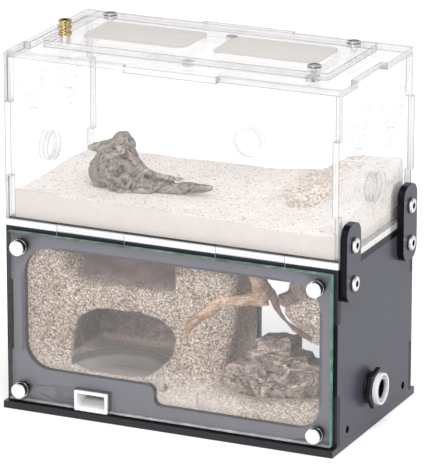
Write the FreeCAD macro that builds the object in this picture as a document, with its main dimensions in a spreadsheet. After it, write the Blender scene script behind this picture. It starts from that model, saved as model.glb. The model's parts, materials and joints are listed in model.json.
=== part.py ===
"""Two-storey ant habitat: a black nest module below, a clear foraging arena above.

Everything is laser-cut acrylic sheet with finger joints. +Z is up, the front faces -Y, and the
origin is the middle of the base plate's underside. Sizes are in millimetres.
"""

import FreeCAD, Part
import math
import os
import re

import Sketcher
from FreeCAD import Placement, Rotation, Vector

DOC = FreeCAD.newDocument("AntHabitat")
SHEET = DOC.addObject("Spreadsheet::Sheet", "Sizes")

# The driving dimensions. Heights called *_low or *_high are measured from the underside of the
# base plate, or from the nest's top where the name starts with arena; that top is also the seam
# between the two modules. Places called *_left, *_right, *_front and *_rear are measured from the
# middle of the habitat.
DIMENSIONS = {
    # the two modules
    "body_width": 150.0,
    "body_depth": 80.0,
    "nest_height": 79.0,
    "arena_height": 74.4,
    "sheet_thickness": 3.0,
    "front_lip": 4.5,
    "rear_lip": 4.0,
    # finger joints
    "finger_inner": 20.5,
    "finger_outer": 51.5,
    "nest_corner_low": 24.9,
    "nest_corner_high": 55.7,
    "arena_corner_low": 21.5,
    "arena_corner_high": 53.0,
    "foot_front": -25.0,
    "foot_rear": 16.0,
    "roof_finger_half": 20.7,
    "roof_side_front": -21.5,
    "roof_side_rear": 9.5,
    # window in the nest's front frame
    "window_left_margin": 8.3,
    "window_right_margin": 8.0,
    "window_top_margin": 7.9,
    "window_sill_left": 17.7,
    "window_sill_right": 9.2,
    "window_step": -7.4,
    "window_radius_large": 11.5,
    "window_radius_right": 10.0,
    "window_radius_step": 3.0,
    # window in the nest's back panel
    "rear_window_left": 6.0,
    "rear_window_margin": 8.0,
    "rear_window_low": 6.0,
    "rear_window_top_margin": 8.0,
    "rear_window_radius": 4.0,
    # glass panes
    "glass_thickness": 3.0,
    "glass_side_margin": 2.0,
    "glass_low": 3.8,
    "glass_top_margin": 1.8,
    "notch_clearance": 0.3,
    # thumb screws that hold the front glass
    "knob_side_margin": 8.0,
    "knob_low": 8.9,
    "knob_top_margin": 7.5,
    "knob_washer_radius": 3.5,
    "knob_washer": 0.7,
    "knob_flange_radius": 3.0,
    "knob_flange": 0.7,
    "knob_neck_radius": 2.1,
    "knob_neck": 1.6,
    "knob_face_radius": 3.2,
    "knob_face": 1.0,
    "knob_shank_radius": 1.45,
    "insert_radius": 2.4,
    "running_clearance": 0.06,
    # water inlet
    "inlet_left": -42.4,
    "inlet_width": 15.2,
    "inlet_gap": 0.3,
    "inlet_height": 8.8,
    "inlet_wall": 1.25,
    "inlet_front": 3.8,
    "inlet_length": 13.0,
    # tube port in the nest's right side
    "port_place": -6.0,
    "port_height": 18.6,
    "port_bore": 4.2,
    "port_tube_radius": 5.0,
    "port_inner_radius": 7.5,
    "port_inner_flange": 2.0,
    "port_washer_radius": 6.8,
    "port_washer": 1.7,
    "port_nut_flats": 15.2,
    "port_nut": 3.0,
    "port_nut_turn": -20.0,
    "port_rim_radius": 6.7,
    "port_rim": 1.5,
    # two small humidity holes in the same side
    "humidity_hole_radius": 1.65,
    "humidity_hole_height": 7.5,
    "humidity_hole_front": -29.0,
    "humidity_hole_rear": 31.0,
    # round openings in the arena's walls, and their plugs
    "arena_port_radius": 6.3,
    "arena_port_height": 24.0,
    "plug_clearance": 0.06,
    "plug_head_radius": 7.0,
    "plug_head": 1.2,
    # ventilation slits
    "vent_length": 6.5,
    "vent_height": 0.9,
    "vent_pitch": 3.5,
    "vent_top_margin": 16.0,
    "vent_spread": 10.0,
    "vent_centre": 17.0,
    # arena roof and its lid
    "roof_opening_width": 104.0,
    "roof_opening_depth": 37.0,
    "roof_opening_radius": 4.0,
    "lid_width": 128.0,
    "lid_depth": 53.0,
    "lid_radius": 1.5,
    "mesh_inner": 6.0,
    "mesh_outer": 53.0,
    "mesh_depth": 26.0,
    "mesh_radius": 4.0,
    "mesh_thickness": 0.5,
    "mesh_below_top": 0.4,
    "stud_place_x": 55.5,
    "stud_place_y": 20.5,
    "stud_shank_radius": 1.2,
    "stud_clearance": 0.05,
    "stud_cap_radius": 3.0,
    "stud_cap": 1.3,
    "handle_place_x": 57.3,
    "handle_place_y": 18.6,
    "handle_stem_radius": 2.0,
    "handle_stem": 2.3,
    "handle_disc_radius": 2.85,
    "handle_disc": 1.6,
    "handle_waist_radius": 2.35,
    "handle_waist": 1.2,
    "magnet_radius": 2.5,
    "magnet_depth": 2.0,
    "catch_magnet_radius": 3.0,
    "magnet_place": 21.7,
    # side brackets that hold the two modules together
    "bracket_width": 14.5,
    "bracket_below_seam": 15.2,
    "bracket_above_seam": 17.5,
    "bracket_radius": 5.5,
    "bracket_front": -31.0,
    "bracket_rear": 29.6,
    "bracket_screw_below_seam": 7.7,
    "bracket_screw_above_seam": 8.5,
    "screw_radius": 2.0,
    "screw_clearance": 0.15,
    "screw_head_radius": 3.3,
    "screw_head": 1.5,
    "screw_socket_flats": 2.5,
    "screw_socket": 1.0,
    # the way from the arena down into the nest
    "passage_place_x": 44.0,
    "passage_place_y": 2.0,
    "passage_radius": 4.0,
    # hollows in the sand
    "basin_place": -25.0,
    "basin_radius": 22.0,
    "basin_rim": 24.0,
    "basin_floor": 15.0,
    "basin_sag": 5.5,
    "cave_depth": 28.0,
    "crater_radius": 13.0,
}


def fill_sheet():
    """Writes each driving dimension to its own cell, with its alias."""
    for row, (alias, value) in enumerate(DIMENSIONS.items(), start=1):
        SHEET.set("A%d" % row, alias)
        SHEET.set("B%d" % row, repr(value))
        SHEET.setAlias("B%d" % row, alias)
    DOC.recompute()


fill_sheet()

# Lengths that follow from the driving dimensions, written once as expressions.
HALF_WIDTH = "(body_width/2)"
HALF_DEPTH = "(body_depth/2)"
INNER_HALF_WIDTH = "(body_width/2-sheet_thickness)"
INNER_HALF_DEPTH = "(body_depth/2-sheet_thickness)"
NEST_FLOOR = "sheet_thickness"
NEST_CEILING = "(nest_height-sheet_thickness)"
ARENA_FLOOR = "(nest_height+sheet_thickness)"
ROOF = "(nest_height+arena_height)"
ROOF_UNDERSIDE = "(nest_height+arena_height-sheet_thickness)"
LID_TOP = "(nest_height+arena_height+sheet_thickness)"
GLASS_HALF_WIDTH = "(body_width/2-glass_side_margin)"
GLASS_TOP = "(nest_height-glass_top_margin)"
KNOB_X = "(body_width/2-knob_side_margin)"
KNOB_TOP = "(nest_height-knob_top_margin)"
INLET_RIGHT = "(inlet_left+inlet_width)"
INLET_LOW = "(sheet_thickness+inlet_gap)"
INLET_TOP = "(sheet_thickness+inlet_gap+inlet_height)"
ARENA_PORT_Z = "(nest_height+arena_port_height)"
BRACKET_FACE = "(body_width/2+sheet_thickness)"
BRACKET_LOW = "(nest_height-bracket_below_seam)"
BRACKET_HIGH = "(nest_height+bracket_above_seam)"
BRACKET_SCREW_LOW = "(nest_height-bracket_screw_below_seam)"
BRACKET_SCREW_HIGH = "(nest_height+bracket_screw_above_seam)"

ALIAS = re.compile(r"[a-z][a-z_]*")
PLANES = {"XY": "XY_Plane", "XZ": "XZ_Plane", "YZ": "YZ_Plane"}
TURN = {
    "Z": Rotation(),
    "X": Rotation(Vector(0, 1, 0), 90),
    "-X": Rotation(Vector(0, 1, 0), -90),
    "Y": Rotation(Vector(1, 0, 0), -90),
    "-Y": Rotation(Vector(1, 0, 0), 90),
}
NODES = {}


def bound(expression):
    """The expression with each dimension's name pointing at the sheet."""
    def point(found):
        return "Sizes." + found.group() if found.group() in DIMENSIONS else found.group()
    return ALIAS.sub(point, str(expression))


def number(expression):
    """The present value of an expression."""
    return float(SHEET.evalExpression(bound(expression)))


def place(thing, foot, turn="Z"):
    """Sets an object's placement and ties its three coordinates to the sheet."""
    thing.Placement = Placement(Vector(*[number(part) for part in foot]), TURN[turn])
    for axis, part in zip("xyz", foot):
        thing.setExpression("Placement.Base." + axis, bound(part))


def node(label, thing):
    """Names a finished sub-part."""
    thing.Label = label
    NODES[label] = thing
    return thing


# ---- solids ---------------------------------------------------------------------------------------


def block(low, high):
    """A box between two corners."""
    box = DOC.addObject("Part::Box", "Block")
    place(box, low)
    for side, bottom, top in zip(("Length", "Width", "Height"), low, high):
        box.setExpression(side, bound("(%s)-(%s)" % (top, bottom)))
    return box


def rod(foot, turn, radius, length):
    """A cylinder that stands on foot and points along turn."""
    cylinder = DOC.addObject("Part::Cylinder", "Rod")
    place(cylinder, foot, turn)
    cylinder.setExpression("Radius", bound(radius))
    cylinder.setExpression("Height", bound(length))
    return cylinder


def cone(foot, low_radius, high_radius, length):
    """An upright cone that stands on foot."""
    thing = DOC.addObject("Part::Cone", "Cone")
    place(thing, foot)
    thing.setExpression("Radius1", bound(low_radius))
    thing.setExpression("Radius2", bound(high_radius))
    thing.setExpression("Height", bound(length))
    return thing


def hexagon(foot, turn, flats, length, spin=None):
    """A hexagonal prism, point up, given its width across flats. spin turns it about its own axis."""
    prism = DOC.addObject("Part::Prism", "Hexagon")
    place(prism, foot, turn)
    if spin:
        prism.Placement.Rotation = TURN[turn].multiply(Rotation(Vector(0, 0, 1), number(spin)))
    prism.Polygon = 6
    prism.setExpression("Circumradius", bound("(%s)/sqrt(3)" % flats))
    prism.setExpression("Height", bound(length))
    return prism


def ball(centre, radius):
    """A sphere."""
    sphere = DOC.addObject("Part::Sphere", "Ball")
    place(sphere, centre)
    sphere.setExpression("Radius", bound(radius))
    return sphere


def cut(base, tools):
    """The base with every tool taken out of it."""
    tool = tools[0]
    if len(tools) > 1:
        tool = DOC.addObject("Part::MultiFuse", "Tools")
        tool.Shapes = tools
    result = DOC.addObject("Part::Cut", "Cut")
    result.Base = base
    result.Tool = tool
    return result


def common(base, tool):
    """What two solids share."""
    result = DOC.addObject("Part::Common", "Common")
    result.Base = base
    result.Tool = tool
    return result


def fuse(things):
    """Several solids joined into one."""
    result = DOC.addObject("Part::MultiFuse", "Fuse")
    result.Shapes = things
    return result


def group(things):
    """Several separate solids that share a node."""
    result = DOC.addObject("Part::Compound", "Group")
    result.Links = things
    return result


# ---- sketches -------------------------------------------------------------------------------------


def new_sketch(body, plane, offset):
    """A sketch on one of the body's own planes, moved along that plane's normal."""
    origin = next(item for item in body.Origin.OriginFeatures if item.Role == PLANES[plane])
    sketch = body.newObject("Sketcher::SketchObject", "Sketch")
    sketch.AttachmentSupport = [(origin, "")]
    sketch.MapMode = "FlatFace"
    sketch.AttachmentOffset = Placement(Vector(0, 0, number(offset)), Rotation())
    sketch.setExpression("AttachmentOffset.Base.z", bound(offset))
    return sketch


def constrain(sketch, kind, *rest, size=None):
    """Adds a constraint and ties its size to the sheet."""
    values = rest if size is None else rest + (number(size),)
    index = sketch.addConstraint(Sketcher.Constraint(kind, *values))
    if size is not None:
        sketch.setExpression("Constraints[%d]" % index, bound(size))


def loop_corners(sides):
    """The corners of a loop of lines that are upright and level by turns."""
    values = [number(side) for side in sides]
    corners = []
    for index, value in enumerate(values):
        following = values[(index + 1) % len(values)]
        corners.append(Vector(value, following) if index % 2 == 0 else Vector(following, value))
    return corners


def add_loop(sketch, sides, radii=None):
    """Draws a closed loop of upright and level lines, some of its corners round.

    The sides are coordinates: across for the upright lines, up for the level ones, by turns.
    Corner k lies between side k and the next one, and radii gives the round corners their radius.
    """
    radii = radii or {}
    corners = loop_corners(sides)
    count = len(sides)
    reach = [number(radii[k]) if k in radii else 0.0 for k in range(count)]
    ends = []
    for k in range(count):
        start, stop = corners[k - 1], corners[k]
        along = (stop - start).normalize()
        ends.append((start + along * reach[k - 1], stop - along * reach[k], along))
    lines = [sketch.addGeometry(Part.LineSegment(start, stop), False) for start, stop, along in ends]
    for k, line in enumerate(lines):
        upright = k % 2 == 0
        constrain(sketch, "Vertical" if upright else "Horizontal", line)
        constrain(sketch, "DistanceX" if upright else "DistanceY", -1, 1, line, 1, size=sides[k])
    for k in range(count):
        following = (k + 1) % count
        if k in radii:
            add_round(sketch, lines[k], lines[following], ends[k], ends[following], radii[k])
        else:
            constrain(sketch, "Coincident", lines[k], 2, lines[following], 1)


def add_round(sketch, line, following, end, next_end, radius):
    """Joins two lines of a loop with a tangent arc."""
    leave, along = end[1], end[2]
    enter, onward = next_end[0], next_end[2]
    left_turn = along.cross(onward).z > 0
    centre = leave + onward * number(radius)
    first, last = (leave, enter) if left_turn else (enter, leave)
    angles = [math.atan2(point.y - centre.y, point.x - centre.x) for point in (first, last)]
    circle = Part.Circle(centre, Vector(0, 0, 1), number(radius))
    arc = sketch.addGeometry(Part.ArcOfCircle(circle, angles[0], angles[1]), False)
    constrain(sketch, "Tangent", line, 2, arc, 1 if left_turn else 2)
    constrain(sketch, "Tangent", following, 1, arc, 2 if left_turn else 1)
    constrain(sketch, "Radius", arc, size=radius)


def add_circle(sketch, across, up, radius):
    """Draws a round hole."""
    middle = Vector(number(across), number(up))
    circle = sketch.addGeometry(Part.Circle(middle, Vector(0, 0, 1), number(radius)), False)
    constrain(sketch, "DistanceX", -1, 1, circle, 3, size=across)
    constrain(sketch, "DistanceY", -1, 1, circle, 3, size=up)
    constrain(sketch, "Radius", circle, size=radius)


def rectangle(left, low, right, high):
    """The sides of a rectangular loop."""
    return [left, low, right, high]


def all_round(radius):
    """The same radius on all four corners."""
    return {corner: radius for corner in range(4)}


def laser_sheet(plane, low, outline, radii=None, windows=(), circles=(), thickness="sheet_thickness"):
    """A flat sheet cut to an outline, its lower face at low along the plane's own axis.

    A window is a pair of sides and radii; a circle is across, up and radius.
    """
    body = DOC.addObject("PartDesign::Body", "Sheet")
    offset = "-((%s)+(%s))" % (low, thickness) if plane == "XZ" else low
    sketch = new_sketch(body, plane, offset)
    add_loop(sketch, outline, radii)
    for sides, corner_radii in windows:
        add_loop(sketch, sides, corner_radii)
    for across, up, radius in circles:
        add_circle(sketch, across, up, radius)
    pad = body.newObject("PartDesign::Pad", "Pad")
    pad.Profile = sketch
    pad.setExpression("Length", bound(thickness))
    sketch.Visibility = False
    return body


def turned(foot, turn, steps, bore=None):
    """A turned piece: steps of radius and length, stacked from its foot along its axis."""
    body = DOC.addObject("PartDesign::Body", "Turned")
    sketch = new_sketch(body, "XZ", "0")
    sides = [bore or "0"]
    height = "0"
    for radius, length in steps:
        sides += [height, radius]
        height = "%s+%s" % (height, length)
    sides.append(height)
    add_loop(sketch, sides)
    spin = body.newObject("PartDesign::Revolution", "Revolution")
    spin.Profile = sketch
    spin.ReferenceAxis = (sketch, ["V_Axis"])
    spin.Angle = 360
    sketch.Visibility = False
    place(body, foot, turn)
    return body


# ---- natural forms --------------------------------------------------------------------------------


def nest_point(across, deep, high):
    """A point in the nest: across and deep run from -1 to 1 between its walls, high from 0 to 1."""
    floor = number(NEST_FLOOR)
    return Vector(across * number(INNER_HALF_WIDTH), deep * number(INNER_HALF_DEPTH),
                  floor + high * (number(NEST_CEILING) - floor))


def arena_point(across, deep, high):
    """A point in the arena, in the same way."""
    floor = number(ARENA_FLOOR)
    return Vector(across * number(INNER_HALF_WIDTH), deep * number(INNER_HALF_DEPTH),
                  floor + high * (number(ROOF_UNDERSIDE) - floor))


def feature(shape):
    """A document object for a shape made in code."""
    thing = DOC.addObject("Part::Feature", "Form")
    thing.Shape = shape
    return thing


def face_of(points):
    """A flat face through the points."""
    return Part.Face(Part.makePolygon(points + points[:1]))


def slab(point_at, outline, front, rear):
    """A form with one outline, across and high, drawn out from front to rear."""
    face = face_of([point_at(across, front, high) for across, high in outline])
    depth = point_at(0, rear, 0).y - point_at(0, front, 0).y
    return feature(face.extrude(Vector(0, depth, 0)))


def ridge(point_at, profile, left, right):
    """A form with one profile, deep and high, drawn out from left to right."""
    face = face_of([point_at(left, deep, high) for deep, high in profile])
    width = point_at(right, 0, 0).x - point_at(left, 0, 0).x
    return feature(face.extrude(Vector(width, 0, 0)))


def twig(points, radii):
    """A branch through the points, thinning from each to the next."""
    shape = Part.makeSphere(radii[0], points[0])
    for start, stop, thick, thin in zip(points, points[1:], radii, radii[1:]):
        span = stop - start
        shape = shape.fuse(Part.makeCone(thick, thin, span.Length, start, span))
        shape = shape.fuse(Part.makeSphere(thin, stop))
    return feature(shape.removeSplitter())


# ---- nest module ----------------------------------------------------------------------------------


def finger_band(sign, outer, inner):
    """The level sides of one end of a plate: out at the two fingers, in elsewhere, left to right."""
    return [
        inner, "-finger_outer", outer, "-finger_inner", inner, "finger_inner", outer, "finger_outer", inner,
    ] if sign > 0 else [
        inner, "finger_outer", outer, "finger_inner", inner, "-finger_inner", outer, "-finger_outer", inner,
    ]


def base_plate():
    """Base plate with a lip in front and behind, slots for the frames and notches for the sides."""
    front = "-(body_depth/2+front_lip)"
    rear = "body_depth/2+rear_lip"
    notch = "body_width/2-sheet_thickness"
    outline = [
        "-body_width/2", front, "body_width/2", "foot_front", notch, "foot_rear", "body_width/2", rear,
        "-body_width/2", "foot_rear", "-(%s)" % notch, "foot_front",
    ]
    slots = []
    for side in (-1, 1):
        left, right = ("finger_inner", "finger_outer") if side > 0 else ("-finger_outer", "-finger_inner")
        slots.append((rectangle(left, "-body_depth/2", right, "-(%s)" % INNER_HALF_DEPTH), None))
        slots.append((rectangle(left, INNER_HALF_DEPTH, right, "body_depth/2"), None))
    return node("base_plate", laser_sheet("XY", "0", outline, windows=slots))


def frame_outline():
    """The outline of the nest's front and back frames, with their fingers."""
    foot = finger_band(1, "0", NEST_FLOOR)
    head = finger_band(-1, "(%s)" % NEST_CEILING, "nest_height")
    right_edge = [HALF_WIDTH, "nest_corner_low", INNER_HALF_WIDTH, "nest_corner_high", HALF_WIDTH]
    left_edge = ["-" + HALF_WIDTH, "nest_corner_high", "-" + INNER_HALF_WIDTH, "nest_corner_low"]
    return ["-" + HALF_WIDTH] + foot + right_edge + head + left_edge


def nest_frames():
    """Front frame with its window, and back panel with a smaller one."""
    window = [
        "-(body_width/2-window_left_margin)", "window_sill_left", "window_step", "window_sill_right",
        "body_width/2-window_right_margin", "nest_height-window_top_margin",
    ]
    window_radii = {
        0: "window_radius_large", 1: "window_radius_step", 2: "window_radius_step",
        3: "window_radius_right", 4: "window_radius_right", 5: "window_radius_large",
    }
    inlet = rectangle("inlet_left", INLET_LOW, INLET_RIGHT, INLET_TOP)
    inserts = [(x, z, "insert_radius") for x in ("-" + KNOB_X, KNOB_X) for z in ("knob_low", KNOB_TOP)]
    front = laser_sheet("XZ", "-body_depth/2", frame_outline(),
                        windows=[(window, window_radii), (inlet, None)], circles=inserts)
    node("nest_front_frame", front)
    rear_window = rectangle("rear_window_left", "rear_window_low", "body_width/2-rear_window_margin",
                            "nest_height-rear_window_top_margin")
    back = laser_sheet("XZ", INNER_HALF_DEPTH, frame_outline(),
                       windows=[(rear_window, all_round("rear_window_radius"))])
    node("nest_back_panel", back)


def side_outline():
    """The outline of a nest side: a foot into the base and a finger into each frame."""
    return [
        "-" + INNER_HALF_DEPTH, NEST_FLOOR, "foot_front", "0", "foot_rear", NEST_FLOOR, INNER_HALF_DEPTH,
        "nest_corner_low", HALF_DEPTH, "nest_corner_high", INNER_HALF_DEPTH, NEST_CEILING,
        "-" + INNER_HALF_DEPTH, "nest_corner_high", "-" + HALF_DEPTH, "nest_corner_low",
    ]


def nest_sides():
    """Plain left side, and right side with the tube port, humidity holes and bracket screws."""
    screw_hole = "screw_radius+screw_clearance"
    holes = [("port_place", "port_height", "port_tube_radius")]
    holes += [(y, "humidity_hole_height", "humidity_hole_radius")
              for y in ("humidity_hole_front", "humidity_hole_rear")]
    holes += [(y, BRACKET_SCREW_LOW, screw_hole) for y in ("bracket_front", "bracket_rear")]
    node("nest_left_panel", laser_sheet("YZ", "-body_width/2", side_outline()))
    node("nest_right_panel", laser_sheet("YZ", INNER_HALF_WIDTH, side_outline(), circles=holes))


def plate_outline():
    """The outline of a plate inside the frames, with a finger into each of them."""
    front = finger_band(1, "-" + HALF_DEPTH, "-" + INNER_HALF_DEPTH)
    rear = finger_band(-1, HALF_DEPTH, INNER_HALF_DEPTH)
    return ["-" + HALF_WIDTH] + front + [HALF_WIDTH] + rear


def nest_top():
    """Nest's top plate with the passage up to the arena."""
    passage = ("passage_place_x", "passage_place_y", "passage_radius")
    node("nest_top_plate", laser_sheet("XY", NEST_CEILING, plate_outline(), circles=[passage]))


def front_glass():
    """Clear front pane, notched round the water inlet and drilled for the thumb screws."""
    gap = "notch_clearance"
    outline = [
        "-" + GLASS_HALF_WIDTH, "glass_low", "inlet_left-" + gap, INLET_TOP + "+" + gap,
        INLET_RIGHT + "+" + gap, "glass_low", GLASS_HALF_WIDTH, GLASS_TOP,
    ]
    hole = "knob_shank_radius+running_clearance"
    holes = [(x, z, hole) for x in ("-" + KNOB_X, KNOB_X) for z in ("knob_low", KNOB_TOP)]
    pane = laser_sheet("XZ", "-(body_depth/2+glass_thickness)", outline, circles=holes,
                       thickness="glass_thickness")
    node("front_glass", pane)


def rear_window_pane():
    """Clear pane glued over the back panel's window, standing on the rear lip."""
    outline = rectangle("-" + GLASS_HALF_WIDTH, "sheet_thickness", GLASS_HALF_WIDTH, GLASS_TOP)
    node("rear_window_pane", laser_sheet("XZ", HALF_DEPTH, outline, thickness="glass_thickness"))


def thumb_screws():
    """Four spool-shaped thumb screws, their rubber washers and the brass inserts they screw into."""
    shank = "glass_thickness+sheet_thickness"
    spool = [("knob_shank_radius", "%s+knob_washer" % shank), ("knob_flange_radius", "knob_flange"),
             ("knob_neck_radius", "knob_neck"), ("knob_face_radius", "knob_face")]
    washers = []
    inserts = []
    for side, x in (("left", "-" + KNOB_X), ("right", KNOB_X)):
        for level, z in (("bottom", "knob_low"), ("top", KNOB_TOP)):
            foot = (x, "-" + INNER_HALF_DEPTH, z)
            node("glass_knob_%s_%s" % (level, side), turned(foot, "-Y", spool))
            face = (x, "-(body_depth/2+glass_thickness)", z)
            washers.append(turned(face, "-Y", [("knob_washer_radius", "knob_washer")],
                                  "knob_shank_radius+running_clearance"))
            inserts.append(turned(foot, "-Y", [("insert_radius", "sheet_thickness")],
                                  "knob_shank_radius+running_clearance"))
    node("glass_knob_washers", group(washers))
    node("glass_knob_inserts", group(inserts))


def water_inlet():
    """White water inlet: a square collar through the frame with a sloping floor inside."""
    front = "-(body_depth/2+inlet_front)"
    rear = "-(body_depth/2)+inlet_length"
    wall = "inlet_wall"
    shell = block(("inlet_left", front, INLET_LOW), (INLET_RIGHT, rear, INLET_TOP))
    hollow = block(("inlet_left+" + wall, front, INLET_LOW + "+" + wall),
                   (INLET_RIGHT + "-" + wall, rear, INLET_TOP + "-" + wall))
    collar = cut(shell, [hollow])
    floor = number(INLET_LOW + "+inlet_wall")
    start = number("-(body_depth/2)")
    slope = [Vector(number("inlet_left+inlet_wall"), y, z) for y, z in (
        (start, floor), (number(rear), floor), (number(rear), floor + number("inlet_height") * 0.42))]
    wedge = feature(face_of(slope).extrude(Vector(number("inlet_width-2*inlet_wall"), 0, 0)))
    node("water_inlet", fuse([collar, wedge]))


def tube_port():
    """Tube port in the right side: a flanged tube from inside, a washer, a nut and a pale rim."""
    inside = ("%s-port_inner_flange" % INNER_HALF_WIDTH, "port_place", "port_height")
    outside = (HALF_WIDTH, "port_place", "port_height")
    through = "sheet_thickness+port_washer+port_nut"
    node("port_tube", turned(inside, "X", [("port_inner_radius", "port_inner_flange"),
                                           ("port_tube_radius", through)], "port_bore"))
    node("port_washer", turned(outside, "X", [("port_washer_radius", "port_washer")], "port_tube_radius"))
    nut_foot = (HALF_WIDTH + "+port_washer", "port_place", "port_height")
    nut = cut(hexagon(nut_foot, "X", "port_nut_flats", "port_nut", "port_nut_turn"),
              [rod(nut_foot, "X", "port_tube_radius", "port_nut")])
    node("port_nut", nut)
    rim_foot = (HALF_WIDTH + "+port_washer+port_nut", "port_place", "port_height")
    node("port_rim", turned(rim_foot, "X", [("port_rim_radius", "port_rim")], "port_bore"))


# ---- nest landscape -------------------------------------------------------------------------------

# Across and high, as seen from the front.
CAVE_ARCH = [(-0.63, 0.41), (-0.60, 0.52), (-0.52, 0.58), (-0.42, 0.595), (-0.21, 0.60), (-0.08, 0.575),
             (-0.006, 0.52), (0.007, 0.44)]
CAVE_FEET = (-0.014, -0.64)
LOWER_ROCK = [(0.20, 0.11), (0.89, 0.11), (0.92, 0.22), (0.85, 0.33), (0.31, 0.33), (0.19, 0.23)]
MIDDLE_ROCK = [(0.34, 0.33), (0.81, 0.33), (0.83, 0.38), (0.72, 0.425), (0.40, 0.425), (0.33, 0.39)]
UPPER_ROCK = [(0.41, 0.425), (0.66, 0.425), (0.67, 0.48), (0.61, 0.515), (0.45, 0.515), (0.39, 0.47)]
RIGHT_WALL = [(1, 0.835), (0.78, 0.81), (0.70, 0.75), (0.68, 0.64), (0.74, 0.56), (0.83, 0.53), (1, 0.52)]
OVERHANG = [(0.64, 0.86), (0.69, 0.895), (0.86, 0.905), (1, 0.895), (1, 0.835), (0.78, 0.81), (0.69, 0.81),
            (0.64, 0.83)]
# Deep and high, as seen from the side.
ALCOVE = [(-1, 1), (-1, 0.75), (-0.84, 0.78), (-0.68, 0.86), (-0.62, 1)]
RIGHT_FLOOR = [(-1, 0), (-1, 0.123), (-0.54, 0.164), (0, 0.15), (1, 0.055), (1, 0)]
# Across and deep, as seen from above.
SAND_PLAN = [(-1, -1), (0.222, -1), (0.083, 1), (-1, 1)]
ROCK_FRONT = -0.74
ROCK_REAR = -0.05
WALL_FRONT = -0.76
# Radii of the dark twig, in millimetres.
DARK_TWIG_ROOT = 1.4
DARK_TWIG_TIP = 1.1


def sand_bulk():
    """The upright mass of sand that fills the nest's left two thirds."""
    face = face_of([nest_point(across, deep, 0) for across, deep in SAND_PLAN])
    rise = number(NEST_CEILING) - number(NEST_FLOOR)
    return feature(face.extrude(Vector(0, 0, rise)))


def basin_bed():
    """The half-round bed that the basin fills, against the front frame."""
    centre = ("basin_place", "-" + INNER_HALF_DEPTH, "basin_floor")
    drum = rod(centre, "Z", "basin_radius", "basin_rim-basin_floor")
    reach = "basin_radius+1"
    keep = block(("basin_place-(%s)" % reach, "-" + INNER_HALF_DEPTH, "basin_floor"),
                 ("basin_place+%s" % reach, "-%s+%s" % (INNER_HALF_DEPTH, reach), "basin_rim"))
    return common(drum, keep)


def basin():
    """Smooth plaster basin under the cave, hollowed by a large ball."""
    ball_radius = "((basin_radius-0.5)^2+basin_sag^2)/(2*basin_sag)"
    centre = ("basin_place", "-" + INNER_HALF_DEPTH, "basin_rim-basin_sag+" + ball_radius)
    node("basin", cut(basin_bed(), [ball(centre, ball_radius)]))


def cave():
    """The cave's hollow: an arch from the front frame inwards, its floor level with the basin's rim."""
    rim = number("basin_rim-sheet_thickness") / (number(NEST_CEILING) - number(NEST_FLOOR))
    outline = CAVE_ARCH + [(across, rim) for across in CAVE_FEET]
    face = face_of([nest_point(across, -1, high) for across, high in outline])
    return feature(face.extrude(Vector(0, number("cave_depth"), 0)))


def tan_twig():
    """Forked pale twig, its thick end set in the sand."""
    stem = [nest_point(*at) for at in ((0.085, -0.93, 0.56), (0.19, -0.89, 0.655), (0.30, -0.82, 0.725),
                                       (0.46, -0.74, 0.74), (0.535, -0.72, 0.73))]
    fork = [nest_point(*at) for at in ((0.48, -0.735, 0.74), (0.455, -0.70, 0.91))]
    return fuse([twig(stem, [1.6, 2.0, 2.3, 2.6, 2.4]), twig(fork, [2.4, 2.7])])


def nest_landscape():
    """Sand, basin, rocks and twigs inside the nest."""
    branch = node("tan_twig", tan_twig())
    inlet_bed = block(("inlet_left", "-" + INNER_HALF_DEPTH, INLET_LOW),
                      (INLET_RIGHT, "-(body_depth/2)+inlet_length", INLET_TOP))
    alcove = ridge(nest_point, ALCOVE, -0.68, 0.0)
    DOC.recompute()
    sand = cut(sand_bulk(), [basin_bed(), cave(), alcove, inlet_bed, branch])
    node("sand_block", sand)
    basin()
    flange = ("%s-port_inner_flange" % INNER_HALF_WIDTH, "port_place", "port_height")
    flange_room = rod(flange, "X", "port_inner_radius", "port_inner_flange")
    floor = cut(ridge(nest_point, RIGHT_FLOOR, 0.0, 1.0), [sand_bulk(), flange_room])
    node("sand_floor", floor)
    rocks = (("rock_lower", LOWER_ROCK, ROCK_FRONT, ROCK_REAR), ("rock_middle", MIDDLE_ROCK, -0.66, -0.02),
             ("rock_upper", UPPER_ROCK, -0.60, -0.25))
    for label, outline, front, rear in rocks:
        node(label, cut(slab(nest_point, outline, front, rear), [floor, sand_bulk()]))
    node("sand_wall_right", slab(nest_point, RIGHT_WALL, WALL_FRONT, 0.0))
    node("root_overhang", slab(nest_point, OVERHANG, -0.70, -0.1))
    tip = nest_point(0.82, WALL_FRONT, 0.56) - Vector(0, DARK_TWIG_TIP, 0)
    node("dark_twig", twig([nest_point(0.565, -0.865, 0.872), tip], [DARK_TWIG_ROOT, DARK_TWIG_TIP]))


# ---- arena module ---------------------------------------------------------------------------------


def arena_floor():
    """Arena's floor with the passage down to the nest."""
    passage = ("passage_place_x", "passage_place_y", "passage_radius")
    node("arena_floor", laser_sheet("XY", "nest_height", plate_outline(), circles=[passage]))


def arena_end_outline():
    """The outline of the arena's front and back, with their fingers."""
    corner_low = "nest_height+arena_corner_low"
    corner_high = "nest_height+arena_corner_high"
    foot = finger_band(1, ARENA_FLOOR, "nest_height")
    right_edge = [HALF_WIDTH, corner_low, INNER_HALF_WIDTH, corner_high, HALF_WIDTH]
    head = [ROOF, "roof_finger_half", ROOF_UNDERSIDE, "-roof_finger_half", ROOF]
    left_edge = ["-" + HALF_WIDTH, corner_high, "-" + INNER_HALF_WIDTH, corner_low]
    return ["-" + HALF_WIDTH] + foot + right_edge + head + left_edge


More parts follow.
